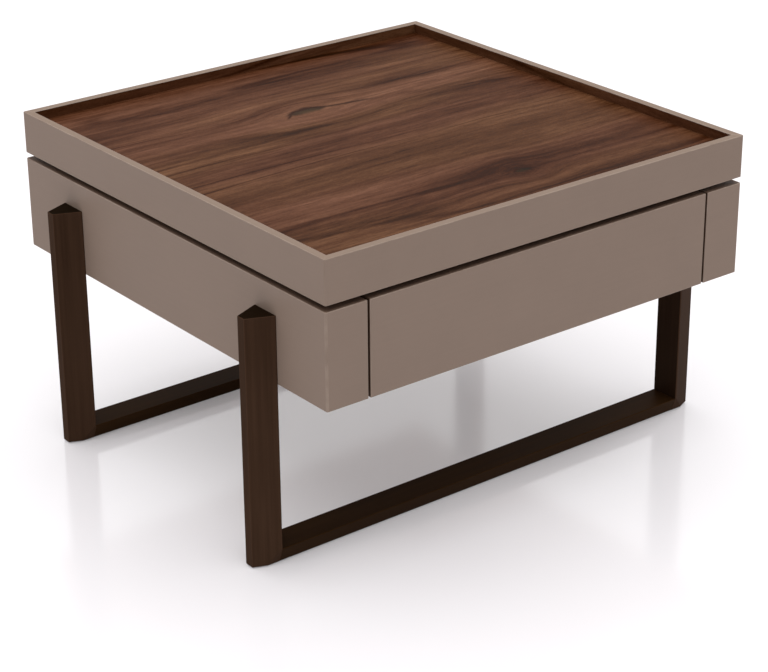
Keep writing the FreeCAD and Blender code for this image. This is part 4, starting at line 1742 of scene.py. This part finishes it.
@dataclass
class Studio:
    """The pale floor, the soft light and the camera."""

    azimuth: float = -37.893
    elevation: float = 24.211
    roll: float = -0.441
    distance: float = 2.794
    target: Point3 = (0.0313, 0.0297, 0.0960)
    lens: float = 105.77
    sensor: float = 36.0
    sight: float = 100.0
    floor_reach: float = 40.0
    ambient: float = 0.68
    softbox_height: float = 3.0
    softbox_size: float = 5.0
    softbox_power: float = 110

    def build(self) -> None:
        """Set the stage."""
        bpy.context.scene.view_settings.view_transform = "Standard"
        self.floor()
        self.world()
        self.softbox()
        self.camera()

    def show(self, name: str, data: bpy.types.ID) -> bpy.types.Object:
        """Put something on the stage.

        Args:
            name: its name.
            data: its mesh, lamp or camera.

        Returns:
            The object.
        """
        made = bpy.data.objects.new(name, data)
        bpy.context.scene.collection.objects.link(made)
        return made

    def floor(self) -> None:
        """A plain pale floor with a soft sheen."""
        reach = self.floor_reach
        data = bpy.data.meshes.new("studio_floor")
        spots = [(x, y, 0) for x, y in oblong((-reach, -reach), (reach, reach))]
        data.from_pydata(spots, [], [(0, 1, 2, 3)])
        data.materials.append(FLOOR_PAINT.material())
        self.show("studio_floor", data)

    def world(self) -> None:
        """A plain level of light from all round."""
        world = bpy.data.worlds.new("studio_world")
        world.use_nodes = True
        graph = Graph(world.node_tree)
        light = {"Color": (1.0, 1.0, 1.0, 1.0), "Strength": self.ambient}
        sky = graph.wired("ShaderNodeBackground", light)
        graph.wired("ShaderNodeOutputWorld", {"Surface": sky.outputs[0]})
        bpy.context.scene.world = world

    def softbox(self) -> None:
        """One square softbox above the table, facing it."""
        data = bpy.data.lights.new("overhead_softbox", "AREA")
        data.shape = "SQUARE"
        data.size = self.softbox_size
        data.energy = self.softbox_power
        lamp = self.show("overhead_softbox", data)
        lamp.location = (0.0, 0.0, self.softbox_height)
        lamp.rotation_euler = (-lamp.location).to_track_quat("-Z", "Y").to_euler()

    def camera(self) -> None:
        """The camera at the photograph's angle."""
        turn = math.radians(self.azimuth)
        rise = math.radians(self.elevation)
        back = Vector((math.sin(turn) * math.cos(rise), -math.cos(turn) * math.cos(rise), math.sin(rise)))
        data = bpy.data.cameras.new("studio_camera")
        data.lens = self.lens
        data.sensor_width = self.sensor
        data.clip_end = self.sight
        camera = self.show("studio_camera", data)
        camera.location = Vector(self.target) + back * self.distance
        level = (-back).to_track_quat("-Z", "Y")
        camera.rotation_euler = (level @ Quaternion((0, 0, 1), math.radians(self.roll))).to_euler()
        bpy.context.scene.camera = camera


def main() -> None:
    """Build the table and its studio."""
    logging.basicConfig(level=logging.INFO, format="%(message)s")
    for part in (TrayTop(), Box(), Drawer(), Slides(), SledFrames(), Hardware(), Studio()):
        part.build()


if __name__ == "__main__":
    main()
